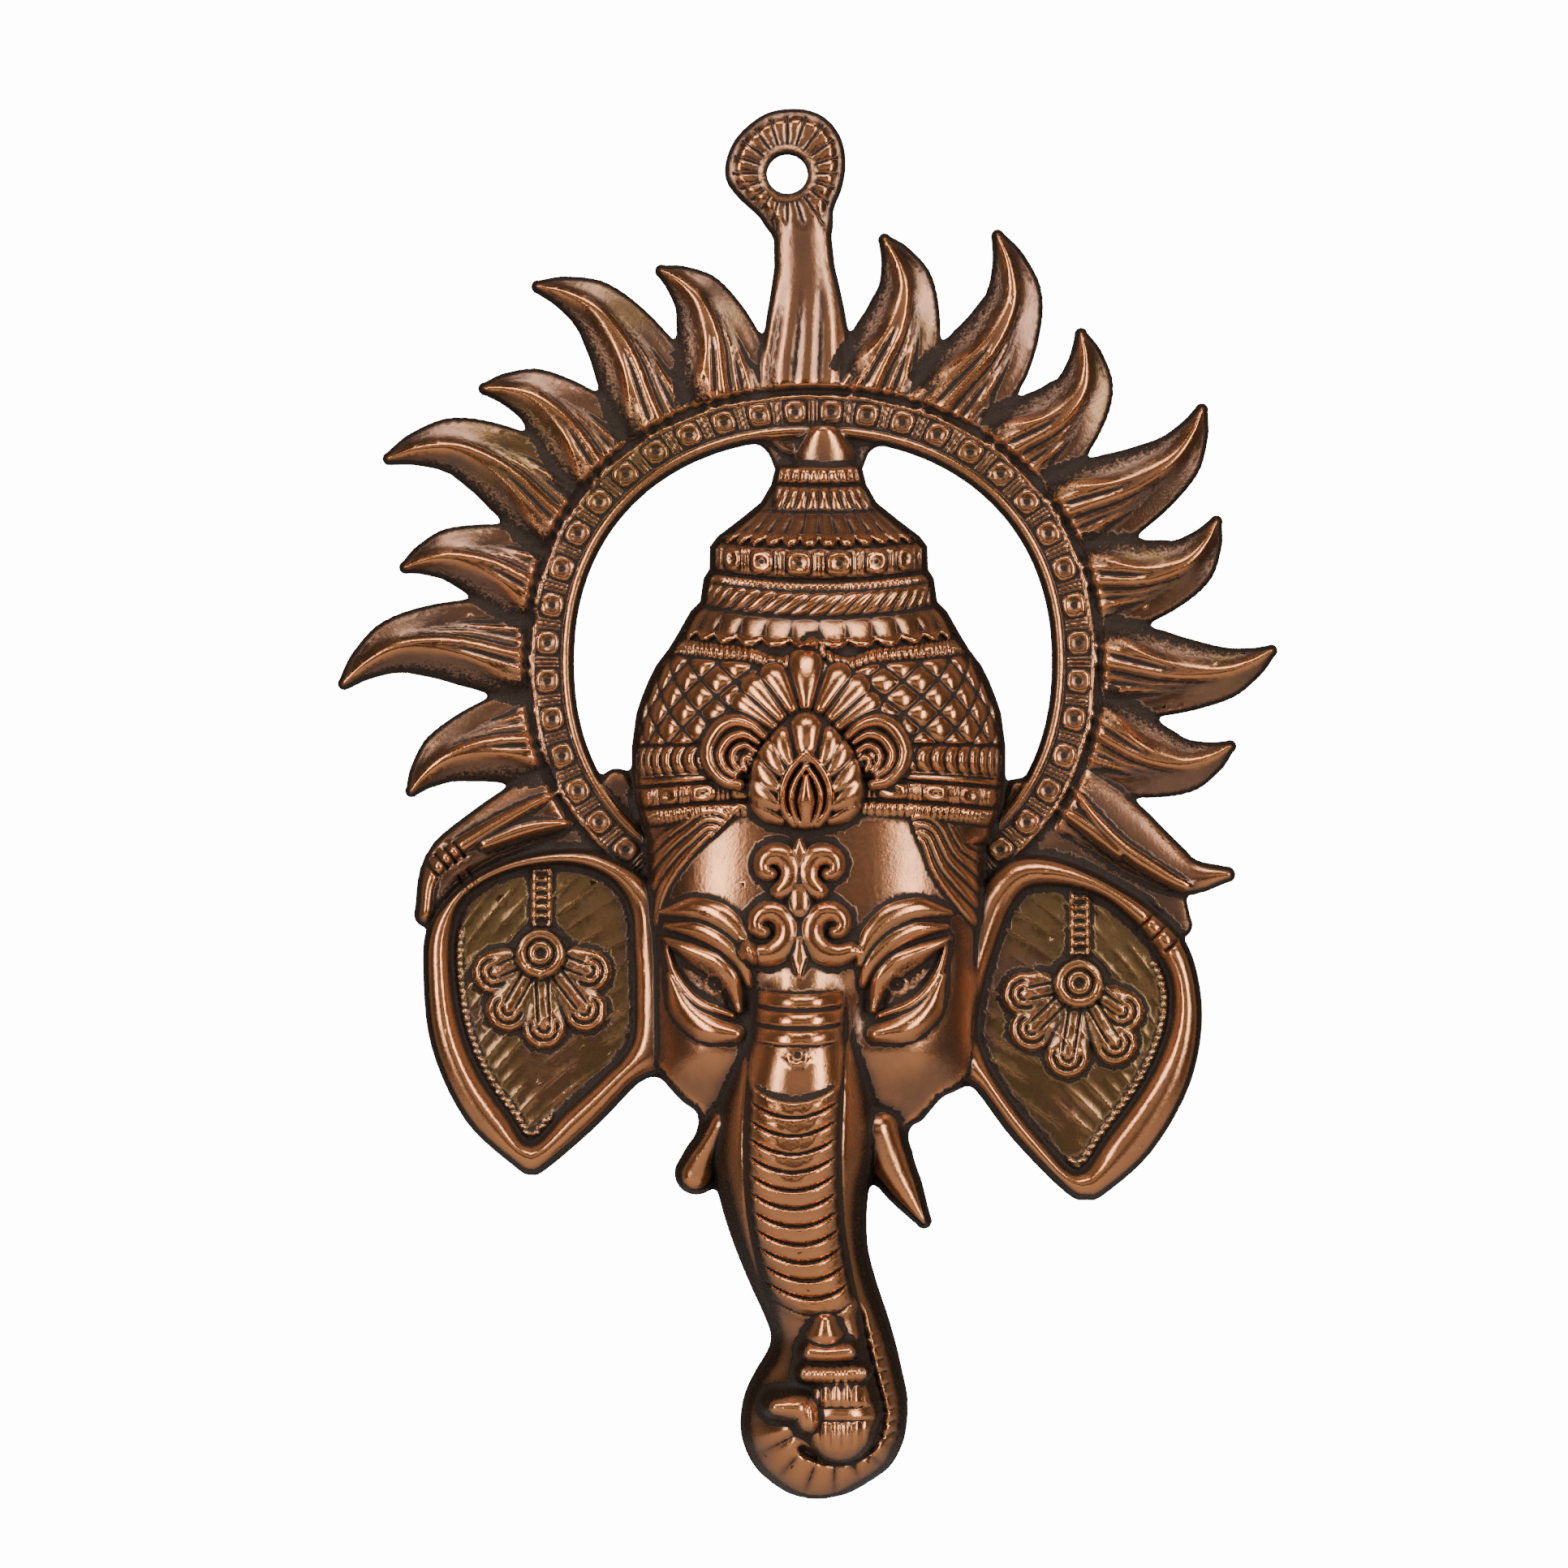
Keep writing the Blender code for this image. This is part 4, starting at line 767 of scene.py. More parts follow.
# %% Trunk
def strip(x, z):
    """The trunk's front strip: which points it covers, and its three bars, drop and rings."""
    here, share, side = beside(x, z, through(TRUNK_LINE), 10.0)
    t = side / spread(TRUNK_STRIP_WIDTHS, share)
    level = -z[here]
    on_strip = ease((0.97 - np.abs(t)) / 0.12)
    bowed = level + RING_BOW * t * t
    turn = (bowed - FIRST_RING) / RING_PITCH
    turn = turn - np.floor(turn)
    rings = 1.5 * dome(turn * 1.25 - 0.4) + 0.5 * ridge((turn - 0.14) / 0.14)
    rings = rings - 0.7 * ridge((turn - 0.93) / 0.13)
    carved = rings * ease((bowed - FIRST_RING) / 0.6) * ease((LAST_RING - bowed) / 3.0) * on_strip
    for middle in BAR_LEVELS:
        carved = carved + 0.8 * ease((1.35 - np.abs(level + 0.9 * t * t - middle - 0.9)) / 0.45) * on_strip
    drop = np.hypot(x[here] - DROP[0], z[here] - DROP[1])
    carved = carved + 0.7 * ridge((drop - 1.8) / 0.6) * ease((DROP[1] - z[here]) / 0.5)
    carved = carved - 0.5 * ridge(drop / 1.1)
    carved = carved - 0.5 * ridge((np.abs(t) - 1.02) / 0.1) * ease((level - TRUNK_STRIP_START) / 2.0)
    return here, carved * ease((TRUNK_STRIP_END - level) / 4.0)


def trunk(x, z):
    """Outline distance and relief of the trunk, its ringed front strip and its curl."""
    sides = through(TRUNK_SIDES)
    edge = outline_distance(x, z, np.vstack([sides[:, [1, 0]], sides[::-1, [2, 0]]]))
    left, right = read_off(TRUNK_SIDES, z)
    across = np.clip((2.0 * x - left - right) / (right - left), -1.0, 1.0)
    relief = read_off(TRUNK_CREST, z)[0] * (1.0 - np.abs(across) ** 2.3) ** 0.5

    here, carved = strip(x, z)
    relief[here] += carved
    return edge, curl(x, z, relief, edge)

# %% [markdown]
# The trunk's tip holds a sweet: a ribbed pot under two collars and a pointed lid. Its
# pieces are squat strokes with nearly flat tops, raised to their own height.

# %% Curl and sweet
# The sweet's and the trunk tip's pieces: points, half widths, height and roundness
SWEET = (
    (((9.6, -224.6), (9.8, -227.4), (9.6, -230.2)), (6.8, 7.6, 6.8), 22.0, 0.16),
    (((3.4, -219.8), (8.6, -219.9), (13.4, -219.6)), (2.3, 2.3), 22.6, 0.14),
    (((4.2, -215.9), (7.6, -216.1), (11.2, -215.8)), (2.4, 2.4), 22.8, 0.14),
    (((6.9, -212.6), (6.9, -210.4)), (4.8, 3.4), 22.8, 0.22),
)
TRUNK_TIP = (((-2.0, -225.8), (1.6, -225.9), (3.4, -226.6), (3.9, -228.4)), (3.2, 3.9, 4.2, 3.6), 23.4, 0.28)
POT_MIDDLE = (9.8, -227.6)
POT_BAR = -227.1
COLLAR_LEVEL = -219.8


def sweet(x, z):
    """Height of the sweet and of the trunk's tip that holds it."""
    held = 0.0 * x
    for points, widths, rise, power in SWEET:
        stroke(x, z, held, points, widths, rise, power)
    out, off_bar = x - POT_MIDDLE[0], np.abs(z - POT_BAR)
    on_pot = (np.hypot(out / 7.6, (z - POT_MIDDLE[1]) / 7.0) < 0.96) & (held > 18.0)
    ribs = 0.5 * lobes(out / 1.9) * (off_bar > 1.3) - 0.5 * ridge((off_bar - 1.3) / 0.4)
    held = held + ribs * on_pot
    on_collar = (np.abs(z - COLLAR_LEVEL) < 1.8) & (held > 19.0)
    held = held + 0.45 * lobes(out / 1.3) * on_collar
    stroke(x, z, held, *TRUNK_TIP)
    return held


def curl(x, z, relief, edge):
    """The relief with the trunk's curled end: radial folds, ticks along its back, and the sweet."""
    out = np.hypot(x - CURL_MIDDLE[0], z - CURL_MIDDLE[1])
    turn = np.arctan2(x - CURL_MIDDLE[0], CURL_MIDDLE[1] - z)
    folds = 0.7 * lobes(turn * 2.9) * ease((1.35 - np.abs(turn + 0.15)) / 0.2) * ease((out - 8.0) / 1.0)
    relief = relief + folds * ease(-edge / 2.5)
    groove(x, z, relief, INNER_CURL, 1.3, 2.2)
    ticks = 0.0 * x
    for level in np.arange(-213.0, -232.0, -2.3):
        start = float(np.interp(-level, (213.0, 221.6, 228.6, 232.0), (14.3, 16.1, 17.5, 17.2)))
        stroke(x, z, ticks, ((start, level - 0.5), (start + 2.4, level)), (0.5, 0.3), 0.5)
    relief = np.maximum(relief - ticks, sweet(x, z))
    groove(x, z, relief, ((4.2, -222.9), (3.4, -226.0), (3.6, -230.2)), 0.5, 0.7)
    return relief


tell("trunk", trunk)

# %% [markdown]
# The tusks are plain round strokes beside the trunk.

# %% Tusks
def tusks(x, z):
    """Outline distance and relief of the whole tusk and of the broken one."""
    edge = np.full(x.shape, FAR)
    relief = 0.0 * x
    for points, widths in TUSKS:
        here, share, side = beside(x, z, through(points), 8.0)
        half = spread(widths, share)
        edge[here] = np.minimum(edge[here], np.abs(side) - half)
        tusk = (13.0 - 4.0 * share) * dome(side / half) ** 0.6
        relief[here] = np.maximum(relief[here], tusk)
    return edge, relief


tell("tusks", tusks)

# %% [markdown]
# ## Ears
#
# Each ear is a shallow dish with a thick rim, and an earring lies in it: a ringed
# disc on a strap, with a fan of petals below.

# %% Sizes of the ears
EAR_OUTLINES = (
    ((-22.0, -136.0), (-26.0, -129.5), (-31.0, -126.3), (-37.1, -124.2), (-45.7, -124.7), (-53.9, -127.1),
     (-61.0, -131.6), (-66.3, -138.5), (-67.2, -147.0), (-65.7, -161.0), (-59.5, -174.5), (-50.5, -183.0),
     (-47.2, -184.7), (-44.0, -183.3), (-35.0, -175.5), (-27.5, -167.8), (-20.0, -162.0)),
    ((33.0, -137.0), (36.0, -130.5), (40.0, -126.6), (45.0, -125.2), (52.0, -126.5), (61.0, -130.8),
     (68.5, -136.0), (74.3, -143.0), (76.6, -155.0), (74.3, -168.0), (67.3, -180.3), (58.6, -188.2),
     (55.2, -189.3), (51.3, -187.9), (41.5, -178.0), (34.5, -168.8), (28.0, -163.0)),
)
DISH_OUTLINES = (
    ((-28.4, -142.0), (-29.0, -135.4), (-32.8, -130.1), (-39.5, -127.6), (-47.7, -128.0), (-54.8, -130.4),
     (-59.8, -134.3), (-61.6, -140.5), (-61.6, -148.0), (-60.1, -157.4), (-56.7, -166.0), (-51.5, -173.6),
     (-47.2, -178.7), (-41.0, -172.9), (-34.3, -166.7), (-28.8, -160.5), (-28.0, -152.0)),
    ((38.2, -143.0), (41.8, -134.3), (46.3, -131.3), (56.2, -132.8), (63.6, -138.2), (69.0, -145.2),
     (70.8, -151.1), (70.0, -158.5), (66.1, -167.4), (59.1, -177.3), (53.4, -184.0), (46.3, -177.3),
     (38.8, -167.4), (35.1, -159.0), (36.0, -151.0)),
)
# Middle of each earring's disc, and the middles of its petals' round ends
EARRINGS = (
    ((-45.4, -143.6), ((-53.9, -147.2), (-51.4, -154.0), (-44.8, -157.2), (-37.3, -154.0), (-36.5, -147.0))),
    ((53.7, -149.1), ((43.6, -151.2), (45.0, -157.6), (51.6, -162.6), (60.4, -160.2), (61.6, -154.4))),
)
RIM_WIDTH = 5.2
# Slant and bow of the veins in the dish, and the space between them
VEINS = (0.75, 0.8, 0.012)
VEIN_STEP = 3.4

# %% [markdown]
# The rim follows the space between the ear's outline and the edge of its dish.

# %% Ears
def dish(x, z, middle, way, from_dish):
    """Height of the veins and of the bead line inside an ear's dish."""
    dx, dz = x - middle[0], z - middle[1]
    veins = lobes((dx * way * VEINS[0] + dz * VEINS[1] + VEINS[2] * dx ** 2) / VEIN_STEP)
    worn = 0.45 + 0.55 * np.sin(0.21 * x + 0.35 * z) * np.sin(0.33 * x - 0.16 * z)
    veins = 0.4 * (1.0 - ease(veins / 0.32)) * ease(-from_dish) * worn
    edging = ridge((from_dish + 1.3) / 0.8) * (dz < 4.0) * (dx * way > -2.0)
    return veins + 0.9 * edging * lobes(z / 1.25)


def petals(x, z, middle, ends):
    """Height of an earring's petals, each with a double rim at its round end."""
    mx, mz = middle
    layer = 0.0 * x
    for px, pz in ends:
        petal = ((mx + 0.3 * (px - mx), mz + 0.3 * (pz - mz)), (px, pz))
        stroke(x, z, layer, petal, (2.1, 3.6, 4.1), 2.0, 0.4)
    away = np.hypot(x - mx, z - mz)
    for px, pz in ends:
        tip = np.hypot(x - px, z - pz)
        reach = np.hypot(px - mx, pz - mz)
        beside_line = np.abs((x - mx) * (pz - mz) - (z - mz) * (px - mx)) / reach
        layer = layer - 0.9 * ridge((tip - 2.5) / 0.6) * ease((away - reach + 1.5) / 2.0) * (tip < 3.2)
        layer = layer - 0.8 * ridge((tip - 1.0) / 0.6) * ease((away - reach + 0.4) / 0.8)
        toward = ((x - mx) * (px - mx) + (z - mz) * (pz - mz) > 0.0) & (away < reach + 0.5)
        layer = layer - 0.7 * ridge((beside_line - 1.1) / 0.4) * toward * ease((reach + 0.5 - away) / 2.0)
    return layer


def earring(x, z, middle, ends):
    """Height of an earring: a ringed disc, a ladder-like strap above it and petals below."""
    away = np.hypot(x - middle[0], z - middle[1])
    disc = np.maximum(2.2 * ease((4.5 - away) / 0.5), 2.2 + 1.2 * dome((away - 3.6) / 1.0))
    disc = np.maximum(disc * (away < 4.6), (2.2 + dome((away - 1.6) / 0.8)) * (away < 2.6))
    layer = np.where(away < 4.6, np.maximum(disc, 0.8), petals(x, z, middle, ends))
    u = np.abs(x - middle[0] - 0.15)
    above = z > middle[1] + 4.8
    strap = (0.9 * ridge((u - 1.5) / 0.55) + 0.8 * lobes(z / 1.7) ** 2 * (u < 1.5)) * above
    return np.where((u < 2.1) & above, strap, layer)


def ear(x, z, side):
    """Outline distance and relief of one dished ear with its earring."""
    edge = outline_distance(x, z, through(EAR_OUTLINES[side], closed=True))
    from_dish = outline_distance(x, z, through(DISH_OUTLINES[side], closed=True), 14.0)
    middle, ends = EARRINGS[side]
    inward = np.clip(from_dish, 0.0, None)
    t = inward / (inward + np.clip(-edge, 0.0, RIM_WIDTH) + 1e-6)
    rim = 6.2 * np.where(t < 0.42, dome((t - 0.42) / 0.44), dome((t - 0.42) / 0.60))
    floor = 2.0 + 0.5 * ease(-from_dish / 8.0)
    relief = np.where(from_dish > 0.0, np.maximum(rim, floor), floor)
    relief = relief + dish(x, z, middle, 1.0 if side else -1.0, from_dish)
    return edge, relief + earring(x, z, middle, ends) * ease(-from_dish / 0.6)


tell("left ear", ear, 0)
tell("right ear", ear, 1)

# %% [markdown]
# ## The whole front
#
# Parts are merged from back to front: the halo, then the ears, then the head. A later
# part covers what lies behind it, with a small blend at its edge.

# %% Figure
# Small notches that were cut across the ears' rims and the flame over the left ear
NOTCHES = (
    ((-60.9, -129.4), (-58.6, -132.6)), ((-59.0, -128.2), (-56.8, -131.4)),
    ((-66.9, -126.6), (-64.0, -129.6)), ((-65.0, -125.2), (-62.3, -128.3)),
    ((-63.3, -124.1), (-60.8, -127.2)), ((-61.6, -123.0), (-59.2, -126.1)),
    ((67.8, -135.9), (64.4, -139.4)), ((70.1, -138.1), (66.8, -141.4)), ((72.1, -140.9), (69.2, -143.5)),
)


def figure(x, z):
    """Outline distance and relief of the whole front, in drawing units."""
    edge, relief = halo(x, z)
    for side in (0, 1):
        part_edge, part_relief = ear(x, z, side)
        edge = soft_min(edge, part_edge, 1.0)
        shown = ease(0.15 - part_edge / 1.2)
        relief = np.maximum(relief * (1.0 - ease((-part_edge - 0.5) / 1.5)), part_relief * shown)
    for start, end in NOTCHES:
        groove(x, z, relief, (start, end), 0.55, 1.3)
    for part in (crown, face, trunk, tusks):
        part_edge, part_relief = part(x, z)
        edge = soft_min(edge, part_edge, 2.2)
        shown = ease(0.1 - part_edge / 0.9)
        brow = 2.4 * ease((z + 164.0) / 12.0) if part is trunk else 0.0
        relief = soft_max(relief, part_relief * shown, 0.7 + brow)
    return edge, relief * ease(0.3 - edge / 1.2)


def head_form(x, z):
    """Broad form of the head alone, without its carving: the hollow follows it."""
    half = crown_half_width(z)
    dome_of_crown = (1.0 + 0.55 * half) * dome((x - CROWN_MIDDLE) / half)
    dome_of_crown = dome_of_crown * (z < -64.0) * (z > -124.0)
    cheeks = face_body(x, z) * (z < -116.0) * (z > -187.0)
    off = follow(x, z, through(TRUNK_LINE))[1]
    nose = (read_off(TRUNK_CREST, z)[0] - 1.0) * dome(off / 11.0) * (z < -142.0) * (z > -232.0)
    return np.maximum(np.maximum(dome_of_crown, cheeks), nose)


tell("whole front", figure)

# %% [markdown]
# The back of a casting like this is hollow, to save metal and to cool evenly. Its
# depth is the head's broad form, shrunk all round by the wall, as if a ball the size
# of the wall had rolled under it.

# %% Hollow back
def hollow(columns, rows):
    """Depth of the hollow in the back: the head's form, shrunk by the wall all round."""
    x, z = np.meshgrid(columns, rows, indexing="ij")
    broad = head_form(x, z)
    form = np.where(broad > 0.0, EDGE + RELIEF_UNIT * broad, 0.0)
    step = (columns[1] - columns[0]) * UNIT
    reach = int(math.ceil(WALL / step))
    padded = np.pad(form, reach)
    depth = form - WALL
    for i in range(-reach, reach + 1):
        for j in range(-reach, reach + 1):
            away = math.hypot(i, j) * step
            if 0.0 < away <= WALL:
                shifted = padded[reach + i:reach + i + form.shape[0], reach + j:reach + j + form.shape[1]]
                depth = np.minimum(depth, shifted - math.sqrt(WALL ** 2 - away ** 2))
    return np.clip(depth - HOLLOW_BRINK, 0.0, None)

# %% [markdown]
# ## From heights to a mesh
#
# The height field is sampled on a fine square grid. Squares inside the outline become
# two triangles each, and the ones that the outline cuts are trimmed along it, so the
# edge is smooth and not a row of steps.

# %% Grid
GRID_STEP = 0.00028
columns = np.arange(*DRAWN_X, GRID_STEP / UNIT)
rows = np.arange(*DRAWN_Z, GRID_STEP / UNIT)
x, z = np.meshgrid(columns, rows, indexing="ij")
edge, relief = (field.reshape(x.shape) for field in figure(x.ravel(), z.ravel()))
edge = np.maximum(edge, NAIL_HOLE / 2 / UNIT - np.hypot(x, z))
height = EDGE + RELIEF_UNIT * np.clip(relief, 0.0, None)
print("grid points:", x.size, "tallest carving in mm:", round(float(height.max()) * 1000, 2))


# %% Trimmed sheet
# A grid point nearer to the outline than this counts as lying on it
SNAP = 0.03


def trimmed_sheet(edge):
    """The grid's triangles inside the outline, and the points where the outline cuts the grid."""
    wide, tall = edge.shape
    flat = edge.ravel()
    flat = np.where(np.abs(flat) < SNAP, 0.0, flat)
    index = np.arange(wide * tall).reshape(wide, tall)
    a, b = index[:-1, :-1].ravel(), index[1:, :-1].ravel()
    c, d = index[1:, 1:].ravel(), index[:-1, 1:].ravel()
    odd = ((a // tall + a % tall) % 2).astype(bool)[:, None]
    first = np.where(odd, np.column_stack([a, b, c]), np.column_stack([a, b, d]))
    second = np.where(odd, np.column_stack([a, c, d]), np.column_stack([b, c, d]))
    triangles = np.vstack([first, second])
    inside = (flat[triangles] <= 0.0).all(axis=1)
    solid = (flat[triangles] < 0.0).any(axis=1)
    cuts = {}
    trimmed = []
    for corners in triangles[~inside & solid].tolist():
        kept = []
        for i, j in zip(corners, corners[1:] + corners[:1]):
            if flat[i] <= 0.0:
                kept.append(i)
            if flat[i] * flat[j] < 0.0:
                kept.append(cuts.setdefault((min(i, j), max(i, j)), wide * tall + len(cuts)))
        trimmed += [(kept[0], kept[k], kept[k + 1]) for k in range(1, len(kept) - 1)]
    faces = np.vstack([triangles[inside & solid], np.array(trimmed)])
    pairs = np.array(list(cuts))
    one = np.concatenate([np.arange(wide * tall), pairs[:, 0]])
    other = np.concatenate([np.arange(wide * tall), pairs[:, 1]])
    share = np.zeros(len(one))
    share[wide * tall:] = flat[pairs[:, 0]] / (flat[pairs[:, 0]] - flat[pairs[:, 1]])
    used = np.unique(faces)
    renumber = np.zeros(len(one), int)
    renumber[used] = np.arange(len(used))
    return one[used], other[used], share[used], renumber[faces]


one, other, share, faces = trimmed_sheet(edge)
print("triangles of the carved front:", len(faces))


# %% [markdown]
# ## One closed casting
#
# The carved front and the hollow back share the same plan, so the casting closes with
# one band of side walls round its outline and round each opening. A Decimate modifier
# then spends the triangles where the carving is, and takes them from flat metal.

# %% Casting
def mixed(field):
    """A grid's values at the points of the trimmed sheet."""
    values = field.ravel()
    return values[one] * (1.0 - share) + values[other] * share


def outline_edges(faces):
    """The directed edges that only one triangle uses."""
    pairs = np.vstack([faces[:, [0, 1]], faces[:, [1, 2]], faces[:, [2, 0]]])
    _, first, counts = np.unique(np.sort(pairs, axis=1), axis=0, return_index=True, return_counts=True)
    return pairs[first[counts == 1]]


def closed_casting():
    """The mesh of the whole casting before it is thinned."""
    plan_x, plan_z, front = mixed(x) * UNIT, mixed(z) * UNIT, mixed(height)
    back = np.clip(np.minimum(mixed(hollow(columns, rows)), front - LEAST_WALL), 0.0, None)
    points = np.vstack([np.column_stack([plan_x, -front, plan_z]), np.column_stack([plan_x, -back, plan_z])])
    count = len(front)
    i, j = outline_edges(faces).T
    walls = np.vstack([np.column_stack([j, i, i + count]), np.column_stack([j, i + count, j + count])])
    triangles = np.vstack([faces, faces[:, ::-1] + count, walls]).astype(np.int32)
    mesh = bpy.data.meshes.new("copper_casting")
    mesh.vertices.add(len(points))
    mesh.vertices.foreach_set("co", np.clip(points, cad_box[0], cad_box[1]).ravel())
    mesh.loops.add(triangles.size)
    mesh.loops.foreach_set("vertex_index", triangles.ravel())
    mesh.polygons.add(len(triangles))
    mesh.polygons.foreach_set("loop_start", np.arange(0, triangles.size, 3, dtype=np.int32))
    mesh.update(calc_edges=True)
    return mesh


MOST_TRIANGLES = 140000
draft = bpy.data.objects.new("draft", closed_casting())
bpy.context.scene.collection.objects.link(draft)
thin = draft.modifiers.new("thin", 'DECIMATE')
thin.ratio = min(1.0, MOST_TRIANGLES / len(draft.data.polygons))
bpy.context.view_layer.update()
casting_mesh = bpy.data.meshes.new_from_object(draft.evaluated_get(bpy.context.evaluated_depsgraph_get()))
bpy.data.objects.remove(draft)
print("triangles after thinning:", len(casting_mesh.polygons))

# %% [markdown]
# ## Where the patina and the painted shade lie
#
# Patina stays in hollows, and rubbing brightens what stands proud. Both are measured
# on the height field: a point below the average of its surroundings is a hollow, one
# above it is a crest. How steep the metal is, and how far a point lies onto a flame's
# left flank or into an eye socket, are measured too, for painted shade. The measures
# are stored on the mesh for the materials to read.


# %% Hollows and crests
# The stain on the ring's upper left: its middle and how far it reaches
STAIN_MIDDLE = (OPENING_MIDDLE[0] - 36.0, OPENING_MIDDLE[1] + 36.0)
STAIN_REACH = 34.0


def averaged(field, radius):
    """A grid's values averaged over a square of the given half width, three times over."""
    reach = max(1, round(radius / (GRID_STEP * 1000)))
    for _ in range(3):
        for axis in (0, 1):
            padded = np.pad(field, [(reach + 1, reach) if k == axis else (0, 0) for k in (0, 1)], mode="edge")
            total = np.cumsum(padded, axis=axis)
            high = np.take(total, np.arange(2 * reach + 1, total.shape[axis]), axis=axis)
            low = np.take(total, np.arange(0, total.shape[axis] - 2 * reach - 1), axis=axis)
            field = (high - low) / (2 * reach + 1)
    return field


def lift(radius):
    """How far the metal stands above the average of its surroundings, in millimetres."""
    inside = (edge < 0.0).astype(float)
    mean = averaged(height * inside, radius) / np.maximum(averaged(inside, radius), 1e-3)
    return (height - mean) * 1000.0 * inside


def slope():
    """How steeply the metal falls away, as its drop over its run."""
    across, down = np.gradient(averaged(height, 0.25), GRID_STEP)
    return np.hypot(across, down)


# Painted shade, mixed with patina, on the flames' left flanks and in the eye sockets.
def flank_patina_and_shade():
    """How much patina and painted shade each point gets: on the left flank of a flame, in the notch at its
    foot, and in the eye sockets.
    """
    flank = np.zeros(x.size)
    stations, _, halves = zip(*FLAME_SHAPE)
    for flame in FLAMES:
        here, share, side = beside(x.ravel(), z.ravel(), flame_curve(*flame), 9.0)
        across = side / np.interp(share, stations, halves)
        shade = np.where(across > 0.0, 1.3 * across - 0.1, -0.75 * across - 0.2)
        shade = shade + 0.5 * ease((0.3 - share) / 0.3)
        flank[here] = np.maximum(flank[here], shade * ((np.abs(across) < 1.1) & (share > 0.1)))
    # Painted shade in the eye sockets.
    out, over = np.abs(x - EYE_MIDDLE) - EYE[0], z - EYE[1]
    eye = np.hypot((out + over) / 9.5, (over - out) / 4.4)
    return np.maximum(flank.reshape(x.shape), 0.75 * ease(2.0 - 1.4 * eye))


def olive():
    """Where an olive stain lies: inside the ears' dishes, and on the ring's upper left."""
    field = 1.0 - ease(np.hypot(x - STAIN_MIDDLE[0], z - STAIN_MIDDLE[1]) / STAIN_REACH)
    for outline in DISH_OUTLINES:
        inward = -outline_distance(x.ravel(), z.ravel(), through(outline, closed=True), 3.0)
        field = np.maximum(field, ease(inward.reshape(x.shape) / 2.5))
    return field


def at_points(field, places):
    """A grid's values between its points, at places in the plane."""
    u = np.clip((places[:, 0] / UNIT - columns[0]) / (columns[1] - columns[0]), 0, len(columns) - 1.001)
    v = np.clip((places[:, 2] / UNIT - rows[0]) / (rows[1] - rows[0]), 0, len(rows) - 1.001)
    i, j = u.astype(int), v.astype(int)
    u, v = u - i, v - j
    return ((field[i, j] * (1 - u) + field[i + 1, j] * u) * (1 - v)
            + (field[i, j + 1] * (1 - u) + field[i + 1, j + 1] * u) * v)


def keep_on_mesh(name, values):
    """Stores one number for each vertex, for a shader to read."""
    casting_mesh.attributes.new(name, 'FLOAT', 'POINT').data.foreach_set("value", values.astype(np.float32))


# %% [markdown]
# ## Shorter edges on smooth metal
#
# Thinning leaves long triangles on smooth metal, and a measure stored on their corners
# would smear across them. Cutting the long edges of the front in half, a few times over,
# keeps the patina where the carving puts it. A last step keeps every corner in the box
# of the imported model, since thinning moves corners by a few hundredths of a millimetre.


# %% Long edges
LONGEST_EDGE = 0.0017
SPLITS = 4
# A corner up to this far behind the carving still counts as part of the front
FRONT_SLACK = 0.0012


def corners_of(mesh):
    """The places of a mesh's vertices, and which of them lie on the carved front."""
    corners = np.empty(len(mesh.vertices) * 3, np.float32)
    mesh.vertices.foreach_get("co", corners)
    corners = corners.reshape(-1, 3).astype(float)
    return corners, corners[:, 1] < -at_points(height, corners) + FRONT_SLACK


def split_long_edges(mesh):
    """Cuts each long edge of the carved front in half."""
    corners, in_front = corners_of(mesh)
    sheet = bmesh.new()
    sheet.from_mesh(mesh)
    ends = np.array([(line.verts[0].index, line.verts[1].index) for line in sheet.edges])
    length = np.linalg.norm(corners[ends[:, 0]] - corners[ends[:, 1]], axis=1)
    long_ones = np.flatnonzero((length > LONGEST_EDGE) & in_front[ends].all(axis=1))
    sheet.edges.ensure_lookup_table()
    bmesh.ops.subdivide_edges(sheet, edges=[sheet.edges[k] for k in long_ones], cuts=1)
    bmesh.ops.triangulate(sheet, faces=[face for face in sheet.faces if len(face.verts) > 3])
    sheet.to_mesh(mesh)
    sheet.free()


for _ in range(SPLITS):
    split_long_edges(casting_mesh)
places, in_front = corners_of(casting_mesh)
places = np.clip(places, cad_box[0], cad_box[1])
casting_mesh.vertices.foreach_set("co", places.ravel())
on_front = in_front.astype(float)
casting = bpy.data.objects.new("copper_casting", casting_mesh)
bpy.context.scene.collection.objects.link(casting)
print("triangles of the casting:", len(casting_mesh.polygons))

# %% Measures for the finish
keep_on_mesh("lift_fine", at_points(lift(0.5), places) * on_front)
keep_on_mesh("lift_wide", at_points(lift(1.8), places) * on_front)
keep_on_mesh("inset", np.clip(-at_points(edge, places), 0.0, 20.0))
# The steep measure and the flank measure below drive painted shade in the finish.
keep_on_mesh("steep", at_points(slope(), places) * on_front)
keep_on_mesh("flank_patina_and_shade", at_points(flank_patina_and_shade(), places) * on_front)
keep_on_mesh("olive", at_points(olive(), places) * on_front)
keep_on_mesh("tall", at_points(height, places) * 1000.0 * on_front)
print("share of the vertices on the front:", round(float(on_front.mean()), 3))

# %% [markdown]
# ## Shaders written as sums
#
# Node trees get long, so they are written as Python expressions here. The class below
# wraps one shader socket, and adding or multiplying two of them adds a Math node.


